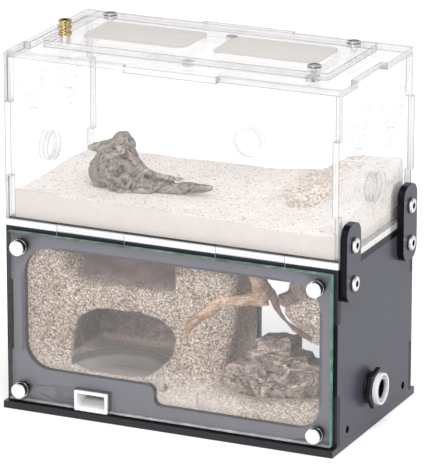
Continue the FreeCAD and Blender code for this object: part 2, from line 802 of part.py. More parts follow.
def arena_ends():
    """Clear front, and clear back with its port."""
    node("arena_front_panel", laser_sheet("XZ", "-body_depth/2", arena_end_outline()))
    node("arena_back_panel", laser_sheet("XZ", INNER_HALF_DEPTH, arena_end_outline(),
                                         circles=[("0", ARENA_PORT_Z, "arena_port_radius")]))


def vent_slits(low):
    """The slits of one side, in two groups whose arms close to a V from the top row down."""
    rows = 7
    slits = []
    for centre in ("-vent_centre", "vent_centre"):
        for row in range(rows):
            height = "%s-vent_top_margin-%d*vent_pitch" % (ROOF, row)
            spread = "vent_spread*%d/%d" % (rows - 1 - row, rows - 1)
            arms = (-1, 1) if row < rows - 2 else (0,)
            for arm in arms:
                middle = "%s+(%d)*%s" % (centre, arm, spread)
                slits.append(block((low, "%s-vent_length/2" % middle, height),
                                   ("%s+sheet_thickness" % low, "%s+vent_length/2" % middle,
                                    "%s+vent_height" % height)))
    return slits


def arena_sides():
    """Clear sides with their ports and ventilation slits; brackets are screwed to the right one."""
    corner_low = "nest_height+arena_corner_low"
    corner_high = "nest_height+arena_corner_high"
    outline = [
        "-" + INNER_HALF_DEPTH, ARENA_FLOOR, INNER_HALF_DEPTH, corner_low, HALF_DEPTH, corner_high,
        INNER_HALF_DEPTH, ROOF_UNDERSIDE, "roof_side_rear", ROOF, "roof_side_front", ROOF_UNDERSIDE,
        "-" + INNER_HALF_DEPTH, corner_high, "-" + HALF_DEPTH, corner_low,
    ]
    port = ("0", ARENA_PORT_Z, "arena_port_radius")
    screw_holes = [(y, BRACKET_SCREW_HIGH, "screw_radius+screw_clearance")
                   for y in ("bracket_front", "bracket_rear")]
    sides = (("arena_left_panel", "-body_width/2", [port]),
             ("arena_right_panel", INNER_HALF_WIDTH, [port] + screw_holes))
    for label, low, circles in sides:
        panel = laser_sheet("YZ", low, outline, circles=circles)
        node(label, cut(panel, vent_slits(low)))


def arena_plugs():
    """A clear plug with a small head in each of the three ports."""
    body_radius = "arena_port_radius-plug_clearance"
    steps = [(body_radius, "sheet_thickness"), ("plug_head_radius", "plug_head")]
    feet = (("port_plug_left", ("-" + INNER_HALF_WIDTH, "0", ARENA_PORT_Z), "-X"),
            ("port_plug_right", (INNER_HALF_WIDTH, "0", ARENA_PORT_Z), "X"),
            ("port_plug_back", ("0", INNER_HALF_DEPTH, ARENA_PORT_Z), "Y"))
    for label, foot, turn in feet:
        node(label, turned(foot, turn, steps))


def roof():
    """Clear roof with its opening, fingers into the four walls and three blind magnet holes."""
    notch_x = INNER_HALF_WIDTH
    outline = [
        "-" + HALF_WIDTH, "-" + INNER_HALF_DEPTH, "-roof_finger_half", "-" + HALF_DEPTH, "roof_finger_half",
        "-" + INNER_HALF_DEPTH, HALF_WIDTH, "roof_side_front", notch_x, "roof_side_rear", HALF_WIDTH,
        INNER_HALF_DEPTH, "roof_finger_half", HALF_DEPTH, "-roof_finger_half", INNER_HALF_DEPTH,
        "-" + HALF_WIDTH, "roof_side_rear", "-" + notch_x, "roof_side_front",
    ]
    half_x = "roof_opening_width/2"
    half_y = "roof_opening_depth/2"
    opening = (rectangle("-" + half_x, "-" + half_y, half_x, half_y), all_round("roof_opening_radius"))
    plate = laser_sheet("XY", ROOF_UNDERSIDE, outline, windows=[opening])
    node("arena_roof", cut(plate, [magnet(*spot) for spot in magnet_spots()]))
    node("roof_magnets", group([magnet(*spot) for spot in magnet_spots()]))


def magnet_spots():
    """Where the roof's magnets lie, and their radii."""
    return (("0", "-magnet_place", "magnet_radius"), ("0", "magnet_place", "magnet_radius"),
            ("stud_place_x", "-magnet_place", "catch_magnet_radius"))


def magnet(x, y, radius):
    """A disc magnet, its upper face flush with the roof."""
    return rod((x, y, ROOF + "-magnet_depth"), "Z", radius, "magnet_depth")


def lid():
    """Lift-off lid with two mesh windows, a brass handle and three chrome studs."""
    studs = [("-handle_place_x", "-handle_place_y"), ("-stud_place_x", "stud_place_y"),
             ("stud_place_x", "-stud_place_y"), ("stud_place_x", "stud_place_y")]
    half_y = "mesh_depth/2"
    windows = [(rectangle(left, "-" + half_y, right, half_y), all_round("mesh_radius"))
               for left, right in (("-mesh_outer", "-mesh_inner"), ("mesh_inner", "mesh_outer"))]
    holes = [(x, y, "stud_shank_radius+stud_clearance") for x, y in studs]
    outline = rectangle("-lid_width/2", "-lid_depth/2", "lid_width/2", "lid_depth/2")
    node("lid_plate", laser_sheet("XY", ROOF, outline, all_round("lid_radius"), windows, holes))
    mesh_low = "%s-mesh_below_top-mesh_thickness" % LID_TOP
    for label, (sides, radii) in zip(("lid_mesh_left", "lid_mesh_right"), windows):
        node(label, laser_sheet("XY", mesh_low, sides, radii, thickness="mesh_thickness"))
    shank = ("stud_shank_radius", "sheet_thickness")
    stem = ("handle_stem_radius", "handle_stem")
    disc = ("handle_disc_radius", "handle_disc")
    waist = ("handle_waist_radius", "handle_waist")
    labels = ("lid_handle", "lid_stud_back_left", "lid_stud_front_right", "lid_stud_back_right")
    for label, (x, y) in zip(labels, studs):
        steps = [shank, stem, disc, waist, disc, waist, disc] if label == "lid_handle" else [
            shank, ("stud_cap_radius", "stud_cap")]
        node(label, turned((x, y, ROOF), "Z", steps))


# Across and high, as seen from the front.
DRIFTWOOD = [(-0.64, 0.15), (0.06, 0.15), (0.115, 0.20), (0.055, 0.245), (-0.03, 0.25), (-0.13, 0.265),
             (-0.25, 0.31), (-0.32, 0.40), (-0.36, 0.51), (-0.44, 0.535), (-0.55, 0.51), (-0.60, 0.455),
             (-0.665, 0.415), (-0.60, 0.36), (-0.67, 0.30), (-0.68, 0.23)]
DRIFTWOOD_FRONT = -0.56
DRIFTWOOD_REAR = -0.18
# The sand's surface across the arena: place across, then its height at four depths.
BED_DEPTHS = (-1.0, -0.25, 0.4, 1.0)
BED_SECTIONS = ((-1.0, (0.182, 0.182, 0.180, 0.14)), (-0.4, (0.168, 0.170, 0.165, 0.145)),
                (0.15, (0.158, 0.160, 0.158, 0.15)), (0.5, (0.146, 0.150, 0.160, 0.19)),
                (0.66, (0.143, 0.17, 0.235, 0.30)), (1.0, (0.146, 0.25, 0.31, 0.33)))


def bed_section(across, heights):
    """One upright section of the sand bed."""
    top = [arena_point(across, deep, high) for deep, high in zip(BED_DEPTHS, heights)]
    points = [arena_point(across, -1, 0)] + top + [arena_point(across, 1, 0)]
    return Part.makePolygon(points + points[:1])


def arena_landscape():
    """Sand bed with a crater over the passage, and a piece of driftwood on it."""
    sections = [bed_section(across, heights) for across, heights in BED_SECTIONS]
    bed = feature(Part.makeLoft(sections, True, True))
    foot = ("passage_place_x", "passage_place_y", ARENA_FLOOR)
    shaft = rod(foot, "Z", "passage_radius", "arena_height/3")
    crater = cone(foot, "passage_radius", "crater_radius", "arena_height/4")
    sand = node("arena_sand", cut(bed, [shaft, crater]))
    wood = slab(arena_point, DRIFTWOOD, DRIFTWOOD_FRONT, DRIFTWOOD_REAR)
    node("driftwood", cut(wood, [sand]))


# ---- brackets -------------------------------------------------------------------------------------


def brackets():
    """Two plates on the right side that tie the arena to the nest, with their socket screws."""
    hole = "screw_radius+screw_clearance"
    screws = []
    for label, y in (("bracket_front", "bracket_front"), ("bracket_rear", "bracket_rear")):
        outline = rectangle(y + "-bracket_width/2", BRACKET_LOW, y + "+bracket_width/2", BRACKET_HIGH)
        holes = [(y, z, hole) for z in (BRACKET_SCREW_LOW, BRACKET_SCREW_HIGH)]
        node(label, laser_sheet("YZ", HALF_WIDTH, outline, all_round("bracket_radius"), circles=holes))
        screws += [socket_screw(y, z) for z in (BRACKET_SCREW_LOW, BRACKET_SCREW_HIGH)]
    node("bracket_screws", group(screws))


def socket_screw(y, z):
    """Button-head screw from the bracket's face to the panel's inner face."""
    grip = "2*sheet_thickness"
    screw = turned((INNER_HALF_WIDTH, y, z), "X",
                   [("screw_radius", grip), ("screw_head_radius", "screw_head")])
    socket_foot = (BRACKET_FACE + "+screw_head-screw_socket", y, z)
    return cut(screw, [hexagon(socket_foot, "X", "screw_socket_flats", "screw_socket")])


# ---- build ----------------------------------------------------------------------------------------


def check(label, thing):
    """Stops on a failed object or a bad shape."""
    shape = thing.Shape
    if shape.isNull() or not shape.isValid() or not shape.Solids:
        raise RuntimeError("%s has no valid solid" % label)
    if "Invalid" in thing.State or "Error" in thing.State:
        raise RuntimeError("%s did not recompute" % label)


def main():
    base_plate()
    nest_frames()
    nest_sides()
    nest_top()
    front_glass()
    rear_window_pane()
    thumb_screws()
    water_inlet()
    tube_port()
    nest_landscape()
    arena_floor()
    arena_ends()
    arena_sides()
    arena_plugs()
    roof()
    lid()
    arena_landscape()
    brackets()
    DOC.recompute()
    failed = [item.Name for item in DOC.Objects if "Invalid" in item.State or "Error" in item.State]
    if failed:
        raise RuntimeError("did not recompute: " + ", ".join(failed))
    os.makedirs("parts", exist_ok=True)
    for label, thing in NODES.items():
        check(label, thing)
    for label, thing in NODES.items():
        thing.Shape.exportStep("parts/%s.step" % label)
        print("%-24s %d solid(s) %10.1f mm3" % (label, len(thing.Shape.Solids), thing.Shape.Volume))


main()
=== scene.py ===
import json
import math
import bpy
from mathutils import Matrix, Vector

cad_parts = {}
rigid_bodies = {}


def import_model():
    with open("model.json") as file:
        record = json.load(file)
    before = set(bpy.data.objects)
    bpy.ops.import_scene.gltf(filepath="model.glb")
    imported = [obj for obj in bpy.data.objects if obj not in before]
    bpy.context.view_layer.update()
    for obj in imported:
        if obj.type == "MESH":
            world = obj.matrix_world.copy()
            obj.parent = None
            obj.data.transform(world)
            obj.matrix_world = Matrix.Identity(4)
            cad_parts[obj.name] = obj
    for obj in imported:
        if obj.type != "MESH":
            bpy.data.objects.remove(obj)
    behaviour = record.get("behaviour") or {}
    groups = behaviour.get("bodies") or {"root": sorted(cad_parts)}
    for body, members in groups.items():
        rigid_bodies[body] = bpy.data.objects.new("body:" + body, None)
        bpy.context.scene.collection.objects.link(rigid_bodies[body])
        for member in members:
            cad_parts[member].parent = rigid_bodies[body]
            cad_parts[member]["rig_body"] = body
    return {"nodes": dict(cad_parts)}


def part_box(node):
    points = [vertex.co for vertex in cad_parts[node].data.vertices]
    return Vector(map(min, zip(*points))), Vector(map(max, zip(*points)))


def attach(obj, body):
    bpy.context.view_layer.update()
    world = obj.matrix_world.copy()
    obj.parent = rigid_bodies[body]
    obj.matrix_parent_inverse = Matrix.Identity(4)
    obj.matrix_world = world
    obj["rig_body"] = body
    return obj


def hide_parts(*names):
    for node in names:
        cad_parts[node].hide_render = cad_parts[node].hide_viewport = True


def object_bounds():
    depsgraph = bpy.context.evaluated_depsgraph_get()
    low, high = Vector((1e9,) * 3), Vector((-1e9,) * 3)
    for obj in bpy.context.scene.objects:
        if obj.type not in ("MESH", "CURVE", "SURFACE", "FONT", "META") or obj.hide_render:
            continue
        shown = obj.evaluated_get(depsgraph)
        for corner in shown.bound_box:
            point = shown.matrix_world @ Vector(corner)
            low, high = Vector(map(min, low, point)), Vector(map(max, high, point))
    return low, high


bl_info = {
    "name": "Ant Habitat Looks",
    "version": (1, 0, 0),
    "blender": (4, 5, 0),
    "location": "3D View > Sidebar > Habitat",
    "description": "Finishes, sand, rocks, wood and fittings of a two-storey ant habitat",
    "category": "Object",
}

import bpy
from mathutils import Quaternion, Vector

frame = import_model()
CAD_LOW, CAD_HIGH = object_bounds()


def mm(value):
    """Millimetres as metres."""
    return value / 1000


def span(start, end):
    """The lowest and highest corner of the space between two corners."""
    return Vector(map(min, start, end)), Vector(map(max, start, end))


# Inner space of the nest and of the arena, from the sheets that enclose them.
NEST = (
    Vector((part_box("nest_left_panel")[1].x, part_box("nest_front_frame")[1].y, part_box("base_plate")[1].z)),
    Vector((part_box("nest_right_panel")[0].x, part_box("nest_back_panel")[0].y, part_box("nest_top_plate")[0].z)),
)
ARENA = (
    Vector((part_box("arena_left_panel")[1].x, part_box("arena_front_panel")[1].y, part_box("arena_floor")[1].z)),
    Vector((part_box("arena_right_panel")[0].x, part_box("arena_back_panel")[0].y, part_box("arena_roof")[0].z)),
)
X, Y, Z = range(3)


def inside(room, across, deep, high):
    """A point of a room: across and deep run from -1 to 1, high from 0 to 1."""
    low, high_corner = room
    return Vector((
        low.x + (high_corner.x - low.x) * (across + 1) / 2,
        low.y + (high_corner.y - low.y) * (deep + 1) / 2,
        low.z + (high_corner.z - low.z) * high,
    ))


def nest_x(across):
    """A place across the nest: -1 at its left panel, 1 at its right one."""
    return inside(NEST, across, 0, 0).x


def nest_z(high):
    """A height in the nest: 0 on the base plate, 1 under the top plate."""
    return inside(NEST, 0, 0, high).z


def middle(node):
    """The middle of a CAD node's box."""
    low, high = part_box(node)
    return (low + high) / 2


# ---- settings -------------------------------------------------------------------------------------


def length(name, default, description):
    """A length property, its default given in millimetres."""
    return bpy.props.FloatProperty(name=name, description=description, default=mm(default), unit="LENGTH",
                                   precision=5)


def colour(name, default, description):
    """A colour property."""
    return bpy.props.FloatVectorProperty(name=name, description=description, default=default, size=3,
                                         subtype="COLOR", min=0, max=1)


class HabitatSizes(bpy.types.PropertyGroup):
    """Sizes of the grain, relief and edges that the looks add."""

    nest_grain: length("Nest grain", 0.66, "Width of a sand grain in the nest")
    nest_voxel: length("Nest voxel", 0.9, "Cell of the nest sand's mesh")
    nest_lumps: length("Nest lumps", 1.0, "Relief of the nest sand's lumps")
    arena_grain: length("Arena grain", 0.6, "Width of a sand grain in the arena")
    arena_relief: length("Arena relief", 1.0, "Relief of the arena's sand")
    rock_relief: length("Rock relief", 1.5, "Relief of the rocks' broken faces")
    wood_relief: length("Wood relief", 1.6, "Relief of the driftwood's hollows")
    metal_edge: length("Metal edge", 0.25, "Rounding of the metal fittings' edges")
    plastic_edge: length("Plastic edge", 0.3, "Rounding of the moulded parts' edges")
    weave: length("Weave", 0.55, "Distance between two wires of the lid's mesh")


class HabitatColours(bpy.types.PropertyGroup):
    """Main colour of each finish."""

    black_sheet: colour("Black sheet", (0.012, 0.012, 0.018), "Polished face of the black acrylic")
    frame_face: colour("Frame face", (0.184, 0.184, 0.211), "Front frame's face behind the glass")
    clear_tint: colour("Clear tint", (0.990, 0.990, 0.996), "What the clear acrylic lets through")
    # The front glass's right edge: its green with painted light.
    glass_edge_lit: colour("Glass edge", (0.20, 0.46, 0.34), "Green edge of the front glass")
    chrome: colour("Chrome", (0.70, 0.70, 0.71), "Polished chrome")
    brass: colour("Brass", (0.66, 0.52, 0.24), "Polished brass")
    white_plastic: colour("White plastic", (0.86, 0.86, 0.88), "Water inlet")
    pale_plastic: colour("Pale plastic", (0.74, 0.74, 0.79), "Rim of the tube port")
    mesh_wire: colour("Mesh wire", (0.76, 0.73, 0.70), "Wire of the lid's mesh")
    nest_sand: colour("Nest sand", (0.66, 0.52, 0.43), "Main grain of the nest's sand")
    # Partly painted shade: the hollows' clay is dark for the shade inside them.
    nest_clay_shade: colour("Nest clay", (0.215, 0.170, 0.160), "Smooth, damp hollows in the nest's sand")
    arena_sand: colour("Arena sand", (0.99, 0.935, 0.885), "Main grain of the arena's sand")
    plaster: colour("Plaster", (0.42, 0.385, 0.365), "Basin under the cave")
    rock: colour("Rock", (0.315, 0.255, 0.225), "Layered rock")
    driftwood: colour("Driftwood", (0.29, 0.250, 0.205), "Weathered wood")
    tan_wood: colour("Tan wood", (0.60, 0.42, 0.31), "Bare pale twig")
    dark_wood: colour("Dark wood", (0.20, 0.125, 0.10), "Dark twig")


def sizes():
    """The sizes as they are set in the panel."""
    return bpy.context.scene.habitat_sizes


def colour_of(name):
    """A colour as it is set in the panel."""
    return tuple(getattr(bpy.context.scene.habitat_colours, name))


# ---- modelling by hand ----------------------------------------------------------------------------


def only(*pieces):
    """Selects these pieces and nothing else, the first one active."""
    bpy.ops.object.select_all(action="DESELECT")
    for piece in pieces:
        piece.select_set(True)
    bpy.context.view_layer.objects.active = pieces[0]


def added(name):
    """The primitive that was just added, named, with its place moved into its mesh."""
    piece = bpy.context.object
    piece.name = name
    piece.data.name = name
    bpy.ops.object.transform_apply(location=True, rotation=True, scale=True)
    return piece


def cuboid(name, low, high):
    """A box between two corners."""
    low, high = span(low, high)
    bpy.ops.object.select_all(action="DESELECT")
    bpy.ops.mesh.primitive_cube_add(size=1, location=(low + high) / 2, scale=high - low)
    return added(name)


def leave():
    """Back to object mode."""
    bpy.ops.object.mode_set(mode="OBJECT")


def open_whole(piece):
    """Enters edit mode with the whole piece selected."""
    only(piece)
    bpy.ops.object.mode_set(mode="EDIT")
    bpy.ops.mesh.select_all(action="SELECT")


def leave_outwards():
    """Turns every face outwards and goes back to object mode."""
    bpy.ops.mesh.select_all(action="SELECT")
    bpy.ops.mesh.normals_make_consistent(inside=False)
    leave()


def modify(piece, kind, **settings):
    """Adds one modifier and applies it."""
    only(piece)
    modifier = piece.modifiers.new(kind.title(), kind)
    for name, value in settings.items():
        setattr(modifier, name, value)
    bpy.ops.object.modifier_apply(modifier=modifier.name)
    return piece


def rounded(piece, width, segments=3, degrees=40):
    """Rounds the edges sharper than an angle."""
    return modify(piece, "BEVEL", width=width, segments=segments, limit_method="ANGLE",
                  angle_limit=math.radians(degrees))


def joined(pieces, name):
    """Several pieces as one."""
    only(*pieces)
    if len(pieces) > 1:
        bpy.ops.object.join()
    piece = bpy.context.object
    piece.name = name
    piece.data.name = name
    return piece


def copied(piece, name, move):
    """A copy of a piece with its own mesh, moved."""
    twin = bpy.data.objects.new(name, piece.data.copy())
    bpy.context.scene.collection.objects.link(twin)
    open_whole(twin)
    bpy.ops.transform.translate(value=move)
    leave()
    return twin


def tidy_mesh(piece):
    """Merges doubles and turns every face outwards."""
    open_whole(piece)
    bpy.ops.mesh.remove_doubles(threshold=mm(0.002))
    leave_outwards()
    return piece


def copy_of_node(node, name):
    """A merged copy of a CAD node's mesh, to be worked on."""
    piece = bpy.data.objects.new(name, frame["nodes"][node].data.copy())
    piece.data.name = name
    piece.data.materials.clear()
    bpy.context.scene.collection.objects.link(piece)
    return tidy_mesh(piece)


def pick(piece, chosen, kind="FACE"):
    """Enters edit mode with just the faces or points selected for which chosen(item) holds."""
    only(piece)
    bpy.ops.object.mode_set(mode="EDIT")
    bpy.ops.mesh.select_mode(type=kind)
    bpy.ops.mesh.select_all(action="DESELECT")
    leave()
    for item in piece.data.polygons if kind == "FACE" else piece.data.vertices:
        item.select = bool(chosen(item))
    bpy.ops.object.mode_set(mode="EDIT")


def smooth_by_angle(piece, degrees=35):
    """Shades a piece smooth, with edges sharper than an angle kept sharp."""
    only(piece)
    bpy.ops.object.shade_smooth_by_angle(angle=math.radians(degrees))
    return piece


def smooth_all(piece):
    """Shades the whole piece smooth."""
    only(piece)
    bpy.ops.object.shade_smooth()
    return piece


def relief(piece, kind, grain, height, level=0.5, group="", **texture_settings):
    """Displaces a piece along its normals by a procedural texture. grain and height are metres."""
    texture = bpy.data.textures.new(piece.name + "_" + kind.lower(), kind)
    texture.noise_scale = grain
    for name, value in texture_settings.items():
        setattr(texture, name, value)
    return modify(piece, "DISPLACE", texture=texture, texture_coords="LOCAL", strength=height,
                  mid_level=level, vertex_group=group)


def loose_group(piece, is_loose):
    """Names the points that may be displaced; the others stay pressed flat against a sheet."""
    group = piece.vertex_groups.new(name="loose")
    group.add([point.index for point in piece.data.vertices if is_loose(point.co)], 1.0, "REPLACE")
    return group.name


def voxels(piece, cell):
    """Turns a piece into one even, closed skin."""
    return modify(piece, "REMESH", mode="VOXEL", voxel_size=cell, use_smooth_shade=True)


def even_out(piece, rounds):
    """Smooths a piece's surface."""
    return modify(piece, "SMOOTH", iterations=rounds, factor=0.5)


def kept_within(piece, low, high):
    """Cuts off what stands outside a space, with its cuts closed."""
    for axis in (X, Y, Z):
        for corner, sign in ((low, -1), (high, 1)):
            normal = Vector((0, 0, 0))
            normal[axis] = sign
            open_whole(piece)
            bpy.ops.mesh.bisect(plane_co=corner, plane_no=normal, use_fill=True, clear_outer=True)
            leave()
    return piece


def worn(piece, chosen, rounds):
    """Wears a piece round where chosen(x, y, z) holds."""
    pick(piece, lambda point: chosen(*point.co), "VERT")
    bpy.ops.mesh.vertices_smooth(factor=0.5, repeat=rounds)
    leave()


def open_disc(name, place, direction, radius, sides):
    """A filled circle that faces a direction, left in edit mode with all of it selected."""
    bpy.ops.object.select_all(action="DESELECT")
    bpy.ops.mesh.primitive_circle_add(vertices=sides, radius=radius, fill_type="NGON", location=place,
                                      rotation=direction.to_track_quat("Z", "Y").to_euler())
    piece = added(name)
    open_whole(piece)
    return piece


def drawn_out(way):
    """Extrudes what is selected."""
    bpy.ops.mesh.extrude_region_move(TRANSFORM_OT_translate={"value": way})


def widened(ratio, place):
    """Scales what is selected about a place."""
    bpy.ops.transform.resize(value=(ratio, ratio, ratio), center_override=place)


def limb(name, stations, sides=14):
    """A tapering stem through stations of (point, radius), made by extruding its end face along them."""
    first, last = stations[0], stations[-1]
    piece = open_disc(name, first[0], (last[0] - first[0]).normalized(), first[1], sides)
    for (start, radius), (end, next_radius) in zip(stations, stations[1:]):
        drawn_out(end - start)
        widened(next_radius / radius, end)
    leave_outwards()
    return piece


def in_millimetres(rows):
    """A limb's stations, from rows of x, y, z and radius in millimetres."""
    return [(Vector(row[:3]) / 1000, mm(row[3])) for row in rows]


AXES = {"X": Vector((1, 0, 0)), "-Y": Vector((0, -1, 0)), "Z": Vector((0, 0, 1))}


def turned(name, foot, axis, steps, edge, sides=48):
    """A lathe-like stack of (radius, height) steps along an axis, its edges rounded by a bevel."""
    direction = AXES[axis]
    radius = steps[0][0]
    piece = open_disc(name, foot, direction, radius, sides)
    place = Vector(foot)
    for next_radius, height in steps:
        if next_radius != radius:
            drawn_out((0, 0, 0))
            widened(next_radius / radius, place)
            radius = next_radius
        if height:
            drawn_out(direction * height)
            place = place + direction * height
    leave_outwards()
    if edge:
        rounded(piece, edge)
    return smooth_by_angle(piece)


def hollow_ring(name, foot, axis, inner, outer, height, edge, sides=64, spin=0.0):
    """A ring with a bore, from a tube whose wall is thickened inwards. spin turns it, in degrees."""
    direction = AXES[axis]
    centre = Vector(foot) + direction * height / 2
    turn = direction.to_track_quat("Z", "Y") @ Quaternion((0, 0, 1), math.radians(spin))
    bpy.ops.object.select_all(action="DESELECT")
    bpy.ops.mesh.primitive_cylinder_add(vertices=sides, radius=outer, depth=height, location=centre,
                                        end_fill_type="NOTHING", rotation=turn.to_euler())
    piece = added(name)
    modify(piece, "SOLIDIFY", thickness=outer - inner, offset=-1, use_even_offset=True)
    tidy_mesh(piece)
    if edge:
        rounded(piece, edge, 4)
    return smooth_by_angle(piece)


def with_socket(piece, centre, axis, flats, depth):
    """Cuts a six-sided socket into a screw's head. centre is the middle of the socket's bottom."""
    direction = AXES[axis]
    bpy.ops.object.select_all(action="DESELECT")
    bpy.ops.mesh.primitive_cylinder_add(vertices=6, radius=flats / math.sqrt(3), depth=depth * 2,
                                        location=Vector(centre) + direction * depth,
                                        rotation=direction.to_track_quat("Z", "Y").to_euler())
    cutter = added("socket")
    modify(piece, "BOOLEAN", object=cutter, operation="DIFFERENCE", solver="EXACT")
    bpy.data.objects.remove(cutter)
    return piece


# ---- finishes -------------------------------------------------------------------------------------


class Nodes:
    """Short calls that add and link the nodes of one tree."""

    def __init__(self, tree):
        self.tree = tree
        self.place = None

    def add(self, kind, inputs=None, **settings):
        """A new node. Its inputs are named or numbered, and take a socket or a value."""
        node = self.tree.nodes.new(kind)
        for name, value in settings.items():
            setattr(node, name, value)
        for name, value in (inputs or {}).items():
            if isinstance(value, bpy.types.NodeSocket):
                self.tree.links.new(value, node.inputs[name])
            else:
                node.inputs[name].default_value = value
        return node

    def sum(self, operation, first, second=0.0, clamp=False):
        """One step of arithmetic."""
        return self.add("ShaderNodeMath", {0: first, 1: second}, operation=operation,
                        use_clamp=clamp).outputs[0]

    def plus(self, first, second, clamp=False):
        """Two numbers added."""
        return self.sum("ADD", first, second, clamp)

    def minus(self, first, second):
        """The second number taken from the first."""
        return self.sum("SUBTRACT", first, second)

    def rest(self, share):
        """What a share leaves of 1."""
        return self.minus(1.0, share)

    def times(self, first, *others):
        """A product."""
        for other in others:
            first = self.sum("MULTIPLY", first, other)
        return first

    def vector(self, operation, first, second=(0, 0, 0), output=0):
        """One step of arithmetic with vectors."""
        return self.add("ShaderNodeVectorMath", {0: first, 1: second}, operation=operation).outputs[output]

    def along(self, axis, vector=None):
        """One coordinate."""
        return self.add("ShaderNodeSeparateXYZ", {0: vector or self.place}).outputs[axis]

    def rise(self, value, start, end):
        """0 before start, 1 after end, smooth between them."""
        return self.add("ShaderNodeMapRange", {0: value, 1: start, 2: end, 3: 0.0, 4: 1.0},
                        interpolation_type="SMOOTHSTEP").outputs[0]

    def mix(self, share, first, second, blend="MIX"):
        """Two colours mixed."""
        first, second = ((*c, 1) if isinstance(c, tuple) and len(c) == 3 else c for c in (first, second))
        node = self.add("ShaderNodeMix", {0: share, 6: first, 7: second}, data_type="RGBA", blend_type=blend)
        return node.outputs[2]

    def tinted(self, shade, tint):
        """A colour multiplied by another one."""
        return self.mix(1.0, shade, tint, "MULTIPLY")

    def ray(self, kind):
        """1 for one kind of ray."""
        return self.add("ShaderNodeLightPath").outputs["Is %s Ray" % kind]

    def seen_rays(self):
        """1 for camera, glossy and transmission rays."""
        return self.sum("MAXIMUM", self.sum("MAXIMUM", self.ray("Camera"), self.ray("Glossy")),
                        self.ray("Transmission"))


class Finish(Nodes):
    """A material in the making."""

    def __init__(self, name):
        self.material = bpy.data.materials.new(name)
        self.material.use_nodes = True
        super().__init__(self.material.node_tree)
        self.tree.nodes.clear()
        self.place = self.add("ShaderNodeTexCoord").outputs["Object"]

    def mapped(self, stretch, turn=(0, 0, 0)):
        """Object coordinates, turned by degrees and then scaled."""
        angles = [math.radians(degrees) for degrees in turn]
        place = self.add("ShaderNodeMapping", {"Vector": self.place, "Rotation": angles}).outputs[0]
        return self.add("ShaderNodeMapping", {"Vector": place, "Scale": stretch}).outputs[0]

    def noise(self, grain, detail=3.0, rough=0.55, at=None, distortion=0.0):
        """Cloudy noise whose features are about grain metres wide."""
        return self.add("ShaderNodeTexNoise", {"Vector": at or self.place, "Scale": 1 / grain,
                                               "Detail": detail, "Roughness": rough,
                                               "Distortion": distortion}).outputs[0]

    def cells(self, grain, at=None):
        """Rounded cells about grain metres wide."""
        return self.add("ShaderNodeTexVoronoi", {"Vector": at or self.place, "Scale": 1 / grain})

    def one_of(self, cells):
        """A random value for each cell."""
        return self.add("ShaderNodeSeparateColor", {0: cells.outputs["Color"]}).outputs[0]

    def ramp(self, value, stops):
        """A colour ramp through (place, colour or grey) stops."""
        node = self.add("ShaderNodeValToRGB", {0: value})
        elements = node.color_ramp.elements
        for _ in stops[2:]:
            elements.new(0.5)
        for element, (at, shade) in zip(elements, stops):
            element.position = at
            element.color = (*shade, 1) if hasattr(shade, "__len__") else (shade, shade, shade, 1)
        return node.outputs[0]

    def between(self, axis, low_edge, low_full, high_full, high_edge):
        """1 in a band along an axis, 0 outside it, smooth at both ends."""
        return self.times(self.rise(self.along(axis), low_edge, low_full),
                          self.rise(self.along(axis), high_edge, high_full))

    def cracks(self, noise, width):
        """0 on the lines where a noise passes its middle, 1 beside them."""
        return self.ramp(self.sum("ABSOLUTE", self.minus(noise, 0.5)), [(0.0, 0.0), (width, 1.0)])

    def shades(self, value, shade, stops):
        """A ramp through (place, share) stops of one colour."""
        return self.ramp(value, [(at, scaled(shade, share)) for at, share in stops])

    def cloudy(self, value, shade, spread, lift=None):
        """A colour that varies by a spread below and above, or by a lift above."""
        return self.mix(value, scaled(shade, 1 - spread), scaled(shade, 1 + (lift or spread)))

    def crease_shade_edge_light(self, base, stops):
        """A colour with painted shade in its creases and painted highlights on its edges, as the stops say."""
        return self.tinted(base, self.ramp(self.add("ShaderNodeNewGeometry").outputs["Pointiness"], stops))

    def glint(self, least=0.04):
        """The share of light that a clear sheet's face reflects, the same from inside and outside."""
        slant = self.add("ShaderNodeLayerWeight", {0: 0.5}).outputs["Facing"]
        return self.plus(self.times(self.sum("POWER", slant, 5.0), 1 - least), least)

    def facing(self, axis):
        """1 on faces square to an axis, 0 on the others."""
        normal = self.add("ShaderNodeNewGeometry").outputs["True Normal"]
        return self.sum("GREATER_THAN", self.sum("ABSOLUTE", self.along(axis, normal)), 0.7)

    def bump(self, height, depth, strength=1.0, over=None):
        """A bump whose height runs over depth metres."""
        inputs = {"Height": height, "Distance": depth, "Strength": strength}
        if over:
            inputs["Normal"] = over
        return self.add("ShaderNodeBump", inputs).outputs[0]

    def principled(self, base, roughness, **sockets):
        """The main shader. Other sockets are given by name, with _ for a space."""
        if isinstance(base, tuple):
            base = (*base[:3], 1)
        inputs = {"Base Color": base, "Roughness": roughness}
        inputs.update({name.replace("_", " "): value for name, value in sockets.items()})
        return self.add("ShaderNodeBsdfPrincipled", inputs).outputs[0]

    def blend(self, share, first, second):
        """Two shaders mixed."""
        return self.add("ShaderNodeMixShader", {0: share, 1: first, 2: second}).outputs[0]

    def done(self, shader):
        """Ends the material with this shader."""
        self.add("ShaderNodeOutputMaterial", {0: shader})
        return self.material


def scaled(shade, share):
    """A colour made lighter or darker, at most white."""
    return tuple(min(1.0, part * share) for part in shade)


SEAMS = (20.5, 51.5)  # where the finger joints meet, in millimetres from the middle


def seams(f, above):
    """1 on the lines where the finger joints meet, above a height."""
    gaps = [f.sum("ABSOLUTE", f.minus(f.sum("ABSOLUTE", f.along(X)), mm(place))) for place in SEAMS]
    lines = f.sum("MAXIMUM", *(f.rise(gap, mm(0.26), mm(0.14)) for gap in gaps))
    return f.times(lines, f.rise(f.along(Z), above, above + mm(0.1)))


